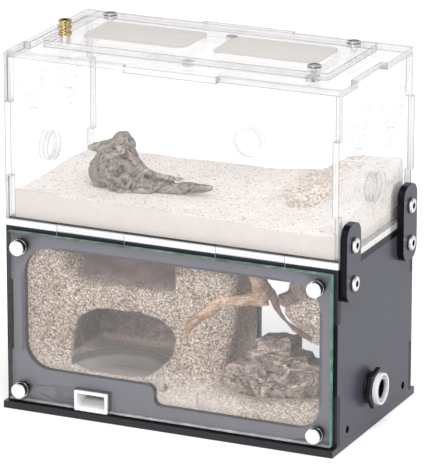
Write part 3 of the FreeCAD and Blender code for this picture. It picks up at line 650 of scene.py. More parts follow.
def black_acrylic(name, axis, satin=None, soft=0.0, edge_gloss=0.10):
    """Black sheet: faces with fine scratches, deep black cut edges. satin is an area of the front face,
    as two corners, that is a satin grey. soft makes the faces duller, and greyer with a painted sheen
    for the pale surroundings they reflect, and edge_gloss is how much the cut edges reflect."""
    f = Finish(name)
    shade = colour_of("black_sheet")
    sheen_grey = (0.058, 0.0585, 0.080)
    clouds = f.noise(mm(18), 4)
    base = f.cloudy(clouds, shade, 0.1)
    # Soft sheets get a greyer base: a painted sheen, for the pale surroundings that their satin faces reflect.
    if soft:
        base = f.mix(soft, base, f.cloudy(clouds, sheen_grey, 0.03))
    if satin:
        low, high = satin
        blur = mm(0.25)
        bands = [f.between(side, low[side], low[side] + blur, high[side] - blur, high[side])
                 for side in (X, Z)]
        grey = colour_of("frame_face")
        base = f.mix(f.times(*bands), base, f.cloudy(clouds, grey, 0.025))
    stretch = [0.04 if side == (axis + 1) % 3 else 1.0 for side in (X, Y, Z)]
    scratches = f.noise(mm(0.5), 2, at=f.mapped(stretch, turn=(3, 4, 5)))
    dust = f.ramp(f.noise(mm(1.4), 2), [(0.62, 0.0), (0.78, 1.0)])
    roughness = f.plus(f.times(scratches, 0.05), f.times(dust, 0.04))
    roughness = f.plus(roughness, 0.04 + soft * 0.22)
    normal = f.bump(scratches, mm(0.01), 0.05)
    if axis == Y:
        base = f.mix(seams(f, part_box("front_glass")[1].z), base, (0.16, 0.16, 0.17))
    face = f.principled(base, roughness, IOR=1.49, Specular_IOR_Level=0.36 - soft * 0.18,
                        Specular_Tint=(0.85, 0.85, 1.0, 1), Normal=normal)
    cut = f.principled(f.mix(scratches, scaled(shade, 0.3), scaled(shade, 0.7)), 0.2, IOR=1.49,
                       Specular_IOR_Level=edge_gloss, Normal=normal)
    return f.done(f.blend(f.facing(axis), cut, face))


def clear_acrylic(node, axis, edge_solid=0.62, foot=None, lines=0.20, warm=0.0):
    """Clear sheet: nearly invisible faces, laser-cut edges that read as pale grey bands with dark lines, their
    brightness partly painted light for the light the sheet carries along. Below the height foot, where the
    sheet stands against another one, its face is painted bright too: painted light for the lit edge behind it.
    lines is how light the dark lines are, and warm how warm the sheet's tint is."""
    f = Finish("clear_acrylic_" + node)
    tint = (*(part * (1 - warm * share) for part, share in zip(colour_of("clear_tint"), (0.6, 1.1, 1.3))), 1)
    low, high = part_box(node)
    thickness = high[axis] - low[axis]
    wipes = f.noise(mm(26), 3, 0.6)
    through = f.add("ShaderNodeBsdfTransparent", {0: f.mix(wipes, tint, scaled(tint[:3], 0.992))}).outputs[0]
    gloss = f.add("ShaderNodeBsdfGlossy", {0: (1, 1, 1, 1), "Roughness": 0.03}).outputs[0]
    pane = f.blend(f.glint(), through, gloss)
    streaks = f.noise(mm(5), 3, 0.6)
    if foot:
        rise = f.sum("DIVIDE", f.minus(f.along(Z), low.z), foot - low.z)
        # A painted bright band: painted light for the lit edge of the sheet that this one stands against.
        lit_band = f.ramp(rise, [(0.0, 0.25), (0.07, 1.0), (0.84, 1.0), (0.93, 0.35), (1.0, 0.35)])
        shade = f.mix(lit_band, (0.22, 0.22, 0.22), f.mix(streaks, (0.80, 0.80, 0.81), (0.90, 0.90, 0.91)))
        pane = f.blend(f.times(f.rise(f.along(Z), foot + mm(0.12), foot), 0.9), pane,
                       f.principled(shade, 0.3, IOR=1.49))
    # Cut edges: bright, partly with painted light for the light the sheet carries, with a dark line along each
    # side. The walls of the openings are fainter.
    depth = f.sum("DIVIDE", f.minus(f.along(axis), low[axis]), thickness)
    line = f.ramp(depth, [(0.0, 0.0), (0.10, 0.15), (0.20, 1.0), (0.38, 0.80), (0.46, 0.45), (0.56, 0.95),
                          (0.82, 0.92), (0.92, 0.12), (1.0, 0.0)])
    shade = f.mix(line, (lines, lines, lines), f.mix(streaks, (0.70, 0.70, 0.70), (0.92, 0.92, 0.92)))
    if node == "arena_floor":
        shade = f.mix(seams(f, low.z), shade, (0.12, 0.12, 0.12))
    cut = f.principled(shade, f.plus(f.times(streaks, 0.15), 0.12), Metallic=0.5, IOR=1.49)
    inner = f.times(*(f.between(side, low[side] + mm(4.4), low[side] + mm(4.6), high[side] - mm(4.6),
                                high[side] - mm(4.4)) for side in (X, Y, Z) if side != axis))
    solid = f.plus(f.times(f.rest(line), 0.4), edge_solid, True)
    solid = f.times(solid, f.rest(f.times(inner, 0.70)))
    rim = f.blend(solid, through, cut)
    return f.done(f.blend(f.facing(axis), rim, pane))


def pane_glass():
    """Front glass: clear faces with a soft reflection, green cut edges."""
    f = Finish("front_glass")
    haze = f.noise(mm(30), 3, 0.6)
    through = f.add("ShaderNodeBsdfTransparent",
                    {0: f.mix(haze, (0.975, 0.975, 0.975), (0.962, 0.962, 0.962))}).outputs[0]
    gloss = f.add("ShaderNodeBsdfGlossy", {0: (1, 1, 1, 1), "Roughness": 0.02}).outputs[0]
    pane = f.blend(f.glint(0.045), through, gloss)
    # One green glass, its edges painted lit and shaded by side: the right edge the brightest green, the left one
    # nearly black, the top one darker and the bottom one pale.
    low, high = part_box("front_glass")
    edge = mm(0.5)
    base = (0.030, 0.050, 0.044)
    sides = ((X, high, -1, colour_of("glass_edge_lit")), (X, low, 1, (0.006, 0.008, 0.008)),
             (Z, high, -1, (0.20, 0.31, 0.26)), (Z, low, 1, (0.62, 0.66, 0.65)))
    for side, rim, inwards, shade in sides:
        near = f.rise(f.along(side), rim[side] + inwards * edge, rim[side] + inwards * edge / 2)
        base = f.mix(near, base, shade)
    # The edges are lighter and darker in patches.
    edge_patches = f.ramp(f.noise(mm(5), 3, 0.6), [(0.35, 0.62), (0.55, 1.0), (0.72, 1.5)])
    cut = f.principled(f.tinted(base, edge_patches), f.plus(f.times(f.noise(mm(0.7), 2), 0.3), 0.08), IOR=1.52,
                       Normal=f.bump(f.noise(mm(0.8), 2), mm(0.03), 0.3))
    return f.done(f.blend(f.facing(Y), f.blend(0.9, through, cut), pane))


def polished_metal(name, shade, roughness, wear):
    """Polished metal with fine turning marks and slightly dulled patches."""
    f = Finish(name)
    marks = f.noise(mm(0.16), 2)
    patches = f.noise(mm(1.8), 3)
    base = f.cloudy(patches, shade, wear, 0.04)
    rough = f.plus(f.times(patches, roughness), roughness * 0.5)
    return f.done(f.principled(base, rough, Metallic=1.0, Specular_Tint=(0.35, 0.35, 0.36, 1),
                               Normal=f.bump(marks, mm(0.01), 0.15)))


def moulded(name, shade, roughness, variation=0.08):
    """Moulded plastic or rubber: even colour, fine surface grain."""
    f = Finish(name)
    patches = f.noise(mm(3.5), 3)
    base = f.cloudy(patches, shade, variation)
    rough = f.plus(f.times(f.noise(mm(0.6), 2), 0.14), roughness)
    return f.done(f.principled(base, rough, IOR=1.48, Normal=f.bump(f.noise(mm(0.25), 2), mm(0.02), 0.35)))


def woven_wire():
    """Fine woven wire: two crossing sets of wires with open squares between them."""
    f = Finish("woven_wire")
    shade = colour_of("mesh_wire")
    pitch = sizes().weave
    period = math.pi / 10  # of the wave texture at scale 1
    wires = [f.add("ShaderNodeTexWave", {"Vector": f.place, "Scale": period / pitch, "Distortion": 0.0},
                   bands_direction=axis, wave_profile="SIN").outputs["Fac"] for axis in ("X", "Y")]
    weave = f.sum("MAXIMUM", *wires)
    streaks = f.noise(mm(1.1), 3, 0.65, at=f.mapped((0.05, 1, 1)))
    clouds = f.noise(mm(14), 2)
    base = f.cloudy(streaks, shade, 0.18, 0.22)
    base = f.mix(f.times(clouds, 0.35), base, scaled(shade, 1.12))
    wire = f.principled(base, f.plus(f.times(streaks, 0.2), 0.34), Metallic=0.35,
                        Normal=f.bump(weave, mm(0.12), 0.6))
    open_air = f.add("ShaderNodeBsdfTransparent", {0: (1, 1, 1, 1)}).outputs[0]
    solid = f.plus(f.times(f.rise(weave, 0.5, 0.8), 0.45), 0.45)
    return f.done(f.blend(solid, open_air, wire))


def grains(f, grain, stops, gap):
    """Sand grains: their colours, each cell its own, with painted shade in the gaps between them, and the height
    of their relief.
    """
    wobble = f.noise(grain * 2.2, 2)
    drift = f.add("ShaderNodeTexNoise", {"Vector": f.place, "Scale": 1 / (grain * 1.7), "Detail": 2.0})
    drift = f.add("ShaderNodeVectorMath", {0: drift.outputs[1], "Scale": grain * 0.4}, operation="SCALE")
    at = f.vector("ADD", f.place, drift.outputs[0])
    large = f.cells(grain, at)
    small = f.cells(grain * 0.55, at)
    shades = f.mix(f.times(wobble, 0.55), f.ramp(f.one_of(large), stops), f.ramp(f.one_of(small), stops))
    # Painted shade in the gaps between the grains.
    gaps = f.ramp(large.outputs["Distance"], [(0.30, 1.0), (0.78, gap)])
    height = f.rest(large.outputs["Distance"])
    return f.tinted(shades, gaps), height


def nest_sand():
    """Bonded sand and loam: coarse speckled grains, and smooth clay in the alcove and the cave, darkened partly by
    painted shade.
    """
    f = Finish("nest_sand")
    shade = colour_of("nest_sand")
    clay = colour_of("nest_clay_shade")
    stops = [(0.05, (0.13, 0.075, 0.05)), (0.15, (0.32, 0.225, 0.165)), (0.32, scaled(shade, 0.86)),
             (0.58, scaled(shade, 1.12)), (0.80, (0.90, 0.77, 0.66)), (0.96, (1.0, 0.96, 0.90))]
    sand, height = grains(f, sizes().nest_grain, stops, 0.42)
    patches = f.ramp(f.noise(mm(13), 4, 0.62), [(0.30, (0.76, 0.70, 0.69)), (0.50, (1.0, 0.98, 0.97)),
                                                (0.70, (1.12, 1.12, 1.12))])
    sand = f.tinted(sand, patches)
    wavy = f.times(f.minus(f.noise(mm(5), 3), 0.5), mm(6))
    x, y, z = (f.along(axis) for axis in (X, Y, Z))
    level = f.plus(z, wavy)
    # Lighter sand low down, most of all on the left, and painted shade on the sand further back.
    paler_low = f.rise(level, nest_z(0.34), nest_z(0.05))
    leftward = f.rise(x, nest_x(0.55), nest_x(0.15))
    paler_low = f.times(paler_low, f.plus(f.times(leftward, 0.42), 0.22))
    sand = f.mix(paler_low, sand, (0.98, 0.90, 0.83))
    deep = f.rise(y, NEST[0].y + mm(3), NEST[0].y + mm(16))
    above = f.rise(level, nest_z(0.16), nest_z(0.36))
    shadow = f.times(deep, above)
    sand = f.mix(shadow, sand, f.tinted(sand, (0.80, 0.66, 0.60)))
    # The lump under the root is painted the palest: painted light that lifts it out of the shade of the top plate.
    lump = f.times(f.rise(x, nest_x(0.5), nest_x(0.62)), f.rise(z, nest_z(0.50), nest_z(0.56)))
    sand = f.mix(lump, sand, f.tinted(sand, (1.42, 1.48, 1.60)))
    # The hollows, left of the pillar and behind the front plane: the cave, then the alcove above it.
    behind = f.rise(y, NEST[0].y + mm(0.7), NEST[0].y + mm(2.6))
    left = f.rise(x, nest_x(0.09), nest_x(0.03))
    recess = f.times(behind, left)
    cave = f.times(recess, f.rise(z, nest_z(0.70), nest_z(0.64)))
    alcove = f.times(recess, f.rise(level, nest_z(0.70), nest_z(0.80)))
    fuzzy = f.plus(x, wavy)
    alcove = f.times(alcove, f.rise(fuzzy, mm(-48), mm(-43)))
    mottle = f.shades(f.noise(mm(3.2), 5, 0.72), clay,
                      [(0.34, 0.50), (0.47, 0.95), (0.58, 1.35), (0.72, 2.1)])
    mottle = f.tinted(mottle, f.ramp(f.noise(mm(0.9), 3, 0.7), [(0.34, 0.62), (0.64, 1.42)]))
    # Painted shade on the cave's deep left side, painted light on its nearer right side.
    rightward = f.rise(x, nest_x(-0.50), nest_x(-0.05))
    painted_dark_side = f.tinted(mottle, (0.72, 0.69, 0.74))
    hollow_shade = f.mix(rightward, painted_dark_side, f.mix(0.25, f.tinted(mottle, (1.65, 1.55, 1.52)), sand))
    # Sand lies along the foot of the cave's wall.
    ledge = f.rise(f.plus(z, f.times(f.noise(mm(2), 3), mm(2.5))), mm(28.6), mm(26.4))
    hollow_shade = f.mix(f.times(ledge, 0.9), hollow_shade, f.mix(0.5, sand, (0.52, 0.49, 0.47)))
    base = f.mix(f.times(cave, 0.94), sand, hollow_shade)
    # The alcove's smooth clay, dark partly with painted shade.
    smooth_clay_shade = f.shades(f.noise(mm(6), 4, 0.6), clay, [(0.35, 0.78), (0.65, 1.28)])
    smooth_clay_shade = f.tinted(smooth_clay_shade, (1.12, 1.0, 1.0))
    base = f.mix(f.times(alcove, 0.97), base, smooth_clay_shade)
    hollow = f.sum("MAXIMUM", alcove, f.times(cave, 0.6))
    roughness = f.minus(0.92, f.times(hollow, 0.22))
    rough_height = f.times(height, f.rest(f.times(hollow, 0.75)))
    normal = f.bump(rough_height, mm(0.40), 0.8)
    return f.done(f.principled(base, roughness, Normal=normal))


def arena_sand():
    """Loose pale sand with sparse dark grains; pressed smooth against the front panel, and darker there, partly
    painted shade.
    """
    f = Finish("arena_sand")
    shade = colour_of("arena_sand")
    stops = [(0.018, (0.24, 0.15, 0.09)), (0.045, (0.60, 0.44, 0.31)), (0.095, (0.90, 0.78, 0.66)),
             (0.16, scaled(shade, 0.97)), (0.6, shade), (1.0, (1.0, 0.985, 0.955))]
    loose, height = grains(f, sizes().arena_grain, stops, 0.88)
    patches = f.ramp(f.noise(mm(15), 4, 0.6), [(0.3, (0.97, 0.955, 0.94)), (0.6, (1.0, 1.0, 1.0))])
    loose = f.tinted(loose, patches)
    # The pressed face is painted darker than the loose top: partly painted shade, against the light from the
    # front.
    pressed = f.mix(f.noise(mm(7), 4), (0.60, 0.550, 0.515), (0.66, 0.610, 0.575))
    front = f.rise(f.along(Y), ARENA[0].y + mm(0.7), ARENA[0].y + mm(0.3))
    # The crater round the way down holds coarser, browner sand.
    crater = f.times(f.between(X, mm(24), mm(34), mm(50), mm(62)), f.rise(f.along(Y), mm(-6), mm(4)))
    coarse = f.ramp(f.one_of(f.cells(sizes().arena_grain * 1.5)),
                    [(0.25, (0.34, 0.24, 0.16)), (0.45, (0.80, 0.68, 0.56)), (0.8, (1.0, 0.95, 0.88))])
    loose = f.mix(f.times(crater, 0.55), loose, f.tinted(loose, coarse))
    base = f.mix(f.times(front, 0.92), loose, pressed)
    strength = f.times(height, f.rest(f.times(front, 0.9)))
    return f.done(f.principled(base, 0.95, Normal=f.bump(strength, mm(0.3), 0.7)))


def plaster():
    """Smooth plaster: cloudy, with painted light paler towards the glass, and a painted shadow as a dark line
    round its rim.
    """
    f = Finish("plaster")
    shade = colour_of("plaster")
    low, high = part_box("basin")
    # Painted light and shade: paler towards the glass, darker at the back of the cave.
    front = f.rise(f.along(Y), low.y + (high.y - low.y) * 0.75, low.y + mm(1))
    base = f.mix(front, scaled(shade, 0.60), scaled(shade, 1.75))
    base = f.mix(f.noise(mm(6), 4, 0.6), scaled(shade, 0.82), base)
    specks = f.ramp(f.noise(mm(0.7), 2), [(0.68, 0.0), (0.76, 0.5)])
    base = f.mix(specks, base, scaled(shade, 0.5))
    flat = f.vector("MULTIPLY", f.vector("SUBTRACT", f.place, ((low.x + high.x) / 2, low.y, 0)), (1, 1, 0))
    away = f.vector("LENGTH", flat, output="Value")
    reach = (high.x - low.x) / 2
    # A painted shadow: a dark line round the rim, under the ledge of sand.
    hollow_shade = f.rise(away, reach - mm(1.9), reach - mm(1.0))
    base = f.mix(f.times(hollow_shade, 0.75), base, (0.10, 0.095, 0.09))
    return f.done(f.principled(base, f.plus(f.times(f.noise(mm(2), 2), 0.2), 0.62),
                               Normal=f.bump(f.noise(mm(1.1), 3), mm(0.15), 0.4)))


def rock():
    """Layered, cracked rock: strata, ridges with painted highlights, painted shade in the creases and dark
    fissures.
    """
    f = Finish("rock")
    shade = colour_of("rock")
    strata = f.noise(mm(2.6), 4, 0.65, at=f.mapped((0.22, 0.22, 1.0), turn=(4, -9, 0)), distortion=0.4)
    base = f.shades(strata, shade, [(0.30, 0.60), (0.45, 0.92), (0.58, 1.18), (0.72, 1.70)])
    # Every broken face has a shade of its own.
    faces = f.ramp(f.one_of(f.cells(mm(6))), [(0.15, (0.66, 0.63, 0.65)), (0.5, (1.0, 0.98, 0.97)),
                                              (0.85, (1.32, 1.30, 1.24))])
    base = f.tinted(base, faces)
    warm = f.noise(mm(9), 3)
    base = f.mix(f.times(warm, 0.4), base, (0.37, 0.285, 0.245))
    # Painted shade in the creases, painted highlights on the edges.
    base = f.crease_shade_edge_light(base, [(0.46, 0.30), (0.497, 0.95), (0.503, 1.05), (0.54, 1.75)])
    # Sand lies on the left rocks.
    dusted = f.times(f.rise(f.along(X), mm(32), mm(17)),
                     f.ramp(f.noise(mm(2.2), 4, 0.7), [(0.42, 0.0), (0.55, 1.0)]))
    dust = f.ramp(f.noise(mm(0.6), 2), [(0.38, (0.24, 0.18, 0.14)), (0.62, (0.80, 0.69, 0.59))])
    base = f.mix(dusted, base, dust)
    grit = f.ramp(f.noise(mm(0.7), 2), [(0.35, 0.72), (0.62, 1.12)])
    base = f.tinted(base, grit)
    wander = f.noise(mm(11), 3, 0.6, at=f.mapped((0.55, 0.8, 1.5), turn=(8, 14, 0)), distortion=0.6)
    fissure = f.cracks(wander, 0.018)
    base = f.mix(f.rest(fissure), base, scaled(shade, 0.25))
    normal = f.bump(strata, mm(0.35), 0.6)
    normal = f.bump(f.noise(mm(0.9), 3), mm(0.35), 0.6, normal)
    normal = f.bump(fissure, mm(0.5), 0.7, normal)
    return f.done(f.principled(base, 0.86, Normal=normal))


def weathered_wood():
    """Driftwood: long grooves that follow the grain, pale raised ridges, purple-brown hollows; darker deep in the
    grooves and paler on the ridges, partly painted shade and highlights.
    """
    f = Finish("driftwood")
    shade = colour_of("driftwood")
    along_grain = f.mapped((0.14, 1.0, 1.0), turn=(0, 38, 0))
    grooves = f.noise(mm(1.3), 4, 0.62, at=along_grain, distortion=0.25)
    # Darker deep in the grooves and paler on their ridges, following the bump: partly painted shade and
    # highlights.
    base = f.ramp(grooves, [(0.34, scaled(shade, 0.22)), (0.45, scaled(shade, 0.72)),
                            (0.56, scaled(shade, 1.15)), (0.68, (0.50, 0.47, 0.40))])
    patches = f.noise(mm(8), 4, 0.6)
    base = f.mix(f.ramp(patches, [(0.48, 0.0), (0.62, 0.7)]), base, (0.32, 0.25, 0.24))
    base = f.mix(f.ramp(f.noise(mm(5), 3), [(0.55, 0.0), (0.7, 0.6)]), base, (0.25, 0.225, 0.14))
    pores = f.ramp(f.noise(mm(0.6), 2), [(0.34, 0.55), (0.5, 1.05)])
    base = f.tinted(base, pores)
    # Painted shade in the creases, painted highlights on the edges.
    base = f.crease_shade_edge_light(base, [(0.455, 0.22), (0.49, 0.84), (0.51, 1.05), (0.56, 1.40)])
    normal = f.bump(grooves, mm(1.2), 1.0)
    normal = f.bump(f.noise(mm(0.5), 2), mm(0.15), 0.6, normal)
    return f.done(f.principled(base, 0.85, Normal=normal))


def bark(name, shade, turn, contrast):
    """Twig: fibres along its length, dark cracks, darker knots and scuffs, painted shade in its creases and
    painted highlights on its edges.
    """
    f = Finish(name)
    along = f.mapped((0.09, 1.0, 1.0), turn=turn)
    fibres = f.noise(mm(0.55), 3, 0.6, at=along)
    base = f.shades(fibres, shade, [(0.30, 1 - contrast), (0.5, 1.0), (0.72, 1 + contrast)])
    bands = f.ramp(f.noise(mm(2.4), 3, 0.6, at=along), [(0.36, (0.62, 0.50, 0.44)), (0.52, (1.0, 1.0, 1.0)),
                                                        (0.68, (1.25, 1.28, 1.30))])
    base = f.tinted(base, bands)
    cracks = f.cracks(f.noise(mm(2.2), 2, 0.5, at=along), 0.016)
    base = f.mix(f.rest(cracks), base, scaled(shade, 0.22))
    knots = f.ramp(f.noise(mm(3.2), 3), [(0.56, 0.0), (0.72, 0.75)])
    base = f.mix(knots, base, scaled(shade, 0.42))
    # Painted shade in the creases, painted highlights on the edges.
    base = f.crease_shade_edge_light(base, [(0.44, 0.35), (0.50, 1.0), (0.57, 1.35)])
    normal = f.bump(fibres, mm(0.3), 0.8)
    return f.done(f.principled(base, 0.78, Normal=normal))


# ---- pieces ---------------------------------------------------------------------------------------


def dress(node, material):
    """Gives a CAD node a finish."""
    piece = frame["nodes"][node]
    if not piece.material_slots:
        piece.data.materials.append(material)
    for holder in piece.material_slots:
        holder.material = material


def stand_for(piece, material, node):
    """Puts a new piece on the body of the CAD node that it stands for. None keeps the piece's materials."""
    if material:
        piece.data.materials.clear()
        piece.data.materials.append(material)
    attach(piece, frame["nodes"][node]["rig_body"])
    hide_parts(node)


class MAKE_OT_black_sheets(bpy.types.Operator):
    """Finish the nest's black sheets and the side brackets"""

    bl_idname = "habitat.black_sheets"
    bl_label = "Black sheets"

    def execute(self, context):
        sheets = {"base_plate": Z, "nest_top_plate": Y, "nest_back_panel": Y, "nest_left_panel": X,
                  "nest_right_panel": X, "bracket_front": X, "bracket_rear": X}
        finishes = {axis: black_acrylic("black_acrylic_" + "xyz"[axis], axis, soft=1.0 if axis == X else 0.0,
                                        edge_gloss=0.45 if axis == Z else 0.10)
                    for axis in (X, Y, Z)}
        for node, axis in sheets.items():
            dress(node, finishes[axis])
        dress("nest_front_frame", black_acrylic("black_acrylic_front", Y, satin=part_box("front_glass")))
        return {"FINISHED"}


class MAKE_OT_clear_sheets(bpy.types.Operator):
    """Finish the arena's clear sheets, the lid's plate, the plugs and the rear pane"""

    bl_idname = "habitat.clear_sheets"
    bl_label = "Clear sheets"

    def execute(self, context):
        sheets = {"arena_floor": Z, "arena_front_panel": Y, "arena_back_panel": Y, "arena_left_panel": X,
                  "arena_right_panel": X, "arena_roof": Z, "lid_plate": Z}
        for node, axis in sheets.items():
            foot = ARENA[0].z if node.startswith("arena") and axis != Z else None
            solid = {"arena_floor": 0.95, "arena_back_panel": 0.14, "lid_plate": 0.50}.get(node, 0.60)
            dress(node, clear_acrylic(node, axis, solid, foot, 0.36 if axis == Z else 0.34,
                                      0.03 if node == "lid_plate" else 0.0))
        for node, axis in (("port_plug_left", X), ("port_plug_right", X), ("port_plug_back", Y)):
            dress(node, clear_acrylic(node, axis, 0.20, None, 0.45))
        # A hair of air between the rear pane and the panel it is fixed to lets the panel be seen through it.
        low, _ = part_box("rear_window_pane")
        pane = copy_of_node("rear_window_pane", "rear_window_pane_clear")
        pick(pane, lambda point: point.co.y < low.y + mm(0.1), "VERT")
        bpy.ops.transform.translate(value=(0, mm(0.05), 0))
        leave()
        stand_for(pane, clear_acrylic("rear_window_pane", Y), "rear_window_pane")
        return {"FINISHED"}


class MAKE_OT_front_glass(bpy.types.Operator):
    """Finish the front glass"""

    bl_idname = "habitat.front_glass"
    bl_label = "Front glass"

    def execute(self, context):
        dress("front_glass", pane_glass())
        return {"FINISHED"}


class MAKE_OT_thumb_screws(bpy.types.Operator):
    """Model the four thumb screws of the front glass: black collar and neck, partly painted shade, chrome face"""

    bl_idname = "habitat.thumb_screws"
    bl_label = "Thumb screws"

    def execute(self, context):
        chrome = polished_metal("chrome", colour_of("chrome"), 0.10, 0.05)
        # The black of the collar and neck is partly painted shade under the chrome face.
        shaded_collar = moulded("black_collar", (0.006, 0.006, 0.007), 0.28)
        face = polished_metal("chrome_face", (0.86, 0.86, 0.85), 0.30, 0.03)
        edge = sizes().metal_edge
        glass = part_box("front_glass")[0].y
        first = "glass_knob_bottom_left"
        low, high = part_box(first)
        centre = middle(first)
        radius = (high.x - low.x) / 2
        reach = glass - low.y
        shank = turned("shank", (centre.x, high.y, centre.z), "-Y", [(radius * 0.45, high.y - glass)], 0)
        neck = turned("neck", (centre.x, glass, centre.z), "-Y",
                      [(radius * 0.92, reach * 0.20), (radius, reach * 0.08), (radius * 0.72, reach * 0.14),
                       (radius * 0.86, reach * 0.22), (radius * 0.74, reach * 0.12)], edge * 0.3)
        ring = hollow_ring("ring", (centre.x, glass - reach * 0.22, centre.z), "-Y", radius * 0.9,
                           radius * 1.06, reach * 0.09, edge * 0.3)
        disc = turned("disc", (centre.x, glass - reach * 0.76, centre.z), "-Y",
                      [(radius * 0.96, reach * 0.06), (radius, reach * 0.12), (radius * 0.93, reach * 0.06)],
                      edge * 0.4)
        pick(disc, lambda face: face.normal.y < -0.9 and face.center.y < low.y + mm(0.01))
        bpy.ops.mesh.inset(thickness=radius * 0.10, depth=mm(-0.05))
        leave()
        smooth_by_angle(disc, 20)
        for part, finish in ((shank, chrome), (neck, shaded_collar), (ring, chrome), (disc, face)):
            part.data.materials.append(finish)
        screw = joined([disc, ring, neck, shank], first + "_turned")
        for level in ("bottom", "top"):
            for side in ("left", "right"):
                node = "glass_knob_%s_%s" % (level, side)
                piece = screw if node == first else copied(screw, node + "_turned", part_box(node)[0] - low)
                stand_for(piece, None, node)
        dress("glass_knob_washers", moulded("rubber", (0.010, 0.010, 0.010), 0.5))
        dress("glass_knob_inserts", polished_metal("insert_brass", colour_of("brass"), 0.2, 0.1))
        return {"FINISHED"}


# Steps of a stud above the lid, as shares of the cap's radius and of the stud's height.
STUD_STEPS = ((0.62, 0.22), (0.97, 0.14), (0.90, 0.34), (0.99, 0.20), (0.92, 0.10))
# Steps of one disc of the handle, and the neck between two discs.
DISC_STEPS = ((0.86, 0.03), (0.97, 0.10), (0.88, 0.03))
NECK_STEPS = ((0.74, 0.105),)


class MAKE_OT_lid_fittings(bpy.types.Operator):
    """Model the lid's brass handle and chrome studs, and finish the roof's magnets"""

    bl_idname = "habitat.lid_fittings"
    bl_label = "Lid fittings"

    def execute(self, context):
        chrome = polished_metal("stud_chrome", scaled(colour_of("chrome"), 1.2), 0.10, 0.06)
        brass = polished_metal("brass", colour_of("brass"), 0.10, 0.30)
        dark = moulded("stud_ring", (0.03, 0.03, 0.03), 0.4)
        lid_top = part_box("lid_plate")[1].z
        edge = sizes().metal_edge
        for corner in ("back_left", "front_right", "back_right"):
            node = "lid_stud_" + corner
            low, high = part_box(node)
            centre = middle(node)
            cap = (high.x - low.x) / 2
            rise = high.z - lid_top
            steps = [(cap * 0.40, lid_top - low.z)]
            steps += [(cap * wide, rise * tall) for wide, tall in STUD_STEPS]
            stud = turned(node + "_turned", (centre.x, centre.y, low.z), "Z", steps, edge * 0.3)
            pick(stud, lambda face: face.normal.z > 0.9 and face.center.z > high.z - mm(0.01))
            bpy.ops.mesh.inset(thickness=cap * 0.22, depth=-rise * 0.12)
            leave()
            smooth_by_angle(stud, 20)
            # A black ring round the stud's waist: a painted dark reflection on the chrome.
            ring = hollow_ring(node + "_ring", (centre.x, centre.y, lid_top + rise * 0.36), "Z", cap * 0.6,
                               cap * 0.96, rise * 0.34, 0)
            stud.data.materials.append(chrome)
            ring.data.materials.append(dark)
            stud = joined([stud, ring], node + "_turned")
            stand_for(stud, None, node)

        low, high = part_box("lid_handle")
        centre = middle("lid_handle")
        disc = (high.x - low.x) / 2
        rise = high.z - lid_top
        start = lid_top + rise * 0.10
        foot = [(disc * 0.62, lid_top - low.z), (disc * 0.80, rise * 0.04), (disc * 0.60, rise * 0.07)]
        stem = turned("lid_handle_stem", (centre.x, centre.y, low.z), "Z", foot, edge * 0.3)
        steps = [(disc * wide, rise * tall) for wide, tall in (DISC_STEPS + NECK_STEPS) * 2 + DISC_STEPS]
        knob = turned("lid_handle_turned", (centre.x, centre.y, start), "Z", steps, edge * 0.4)
        top = start + sum(height for _, height in steps)
        pick(knob, lambda face: face.normal.z > 0.9 and face.center.z > top - mm(0.01))
        bpy.ops.mesh.inset(thickness=disc * 0.30, depth=-rise * 0.05)
        leave()
        smooth_by_angle(knob, 20)
        knob.data.materials.append(brass)
        stem.data.materials.append(chrome)
        handle = joined([knob, stem], "lid_handle_turned")
        stand_for(handle, None, "lid_handle")
        dress("roof_magnets", polished_metal("magnet_nickel", (0.62, 0.62, 0.64), 0.14, 0.1))
        return {"FINISHED"}


class MAKE_OT_bracket_screws(bpy.types.Operator):
    """Model the four socket screws that hold the brackets"""

    bl_idname = "habitat.bracket_screws"
    bl_label = "Bracket screws"

    def execute(self, context):
        chrome = polished_metal("screw_chrome", scaled(colour_of("chrome"), 1.3), 0.30, 0.05)
        dark = moulded("screw_black", (0.010, 0.010, 0.011), 0.4)
        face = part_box("bracket_front")[1].x
        low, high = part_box("bracket_screws")
        head = high.x - face
        radius = mm(3.3)
        flats = mm(2.5)
        bottom = high.x - head * 0.66
        first = Vector((face, middle("bracket_front").y, low.z + radius))
        # The black washer under the head gives the head's side a painted shade and dark reflection.
        washer = turned("washer", first, "X", [(radius * 1.02, head * 0.30)], sizes().metal_edge * 0.2)
        screw = turned("screw", (low.x, first.y, first.z), "X",
                       [(radius * 0.57, face + head * 0.28 - low.x), (radius * 0.95, head * 0.42),
                        (radius * 0.88, head * 0.30)], sizes().metal_edge * 0.3, 40)
        screw.data.materials.append(chrome)
        with_socket(screw, (bottom, first.y, first.z), "X", flats, head)
        # The socket's walls and bottom are black: painted shade in the socket.
        screw.data.materials.append(dark)
        for polygon in screw.data.polygons:
            away = (polygon.center - Vector((polygon.center.x, first.y, first.z))).length
            if away < flats * 0.56 and bottom - mm(0.01) < polygon.center.x < high.x - mm(0.02):
                polygon.material_index = 1
        smooth_by_angle(screw, 20)
        washer.data.materials.append(dark)
        screw = joined([screw, washer], "bracket_screws_turned")
        pieces = [screw]
        for bracket in ("bracket_front", "bracket_rear"):
            for z in (low.z + radius, high.z - radius):
                place = Vector((face, middle(bracket).y, z))
                if place != first:
                    pieces.append(copied(screw, "screw", place - first))
        screws = joined(pieces, "bracket_screws_turned")
        stand_for(screws, None, "bracket_screws")
        return {"FINISHED"}


NUT_SPIN = -20.0  # degrees
NUT_FLATS = 15.2  # millimetres between two opposite faces
TUBE_RADIUS = 5.05  # millimetres
HEXAGON = 0.866  # a hexagon's inner radius as a share of its outer one


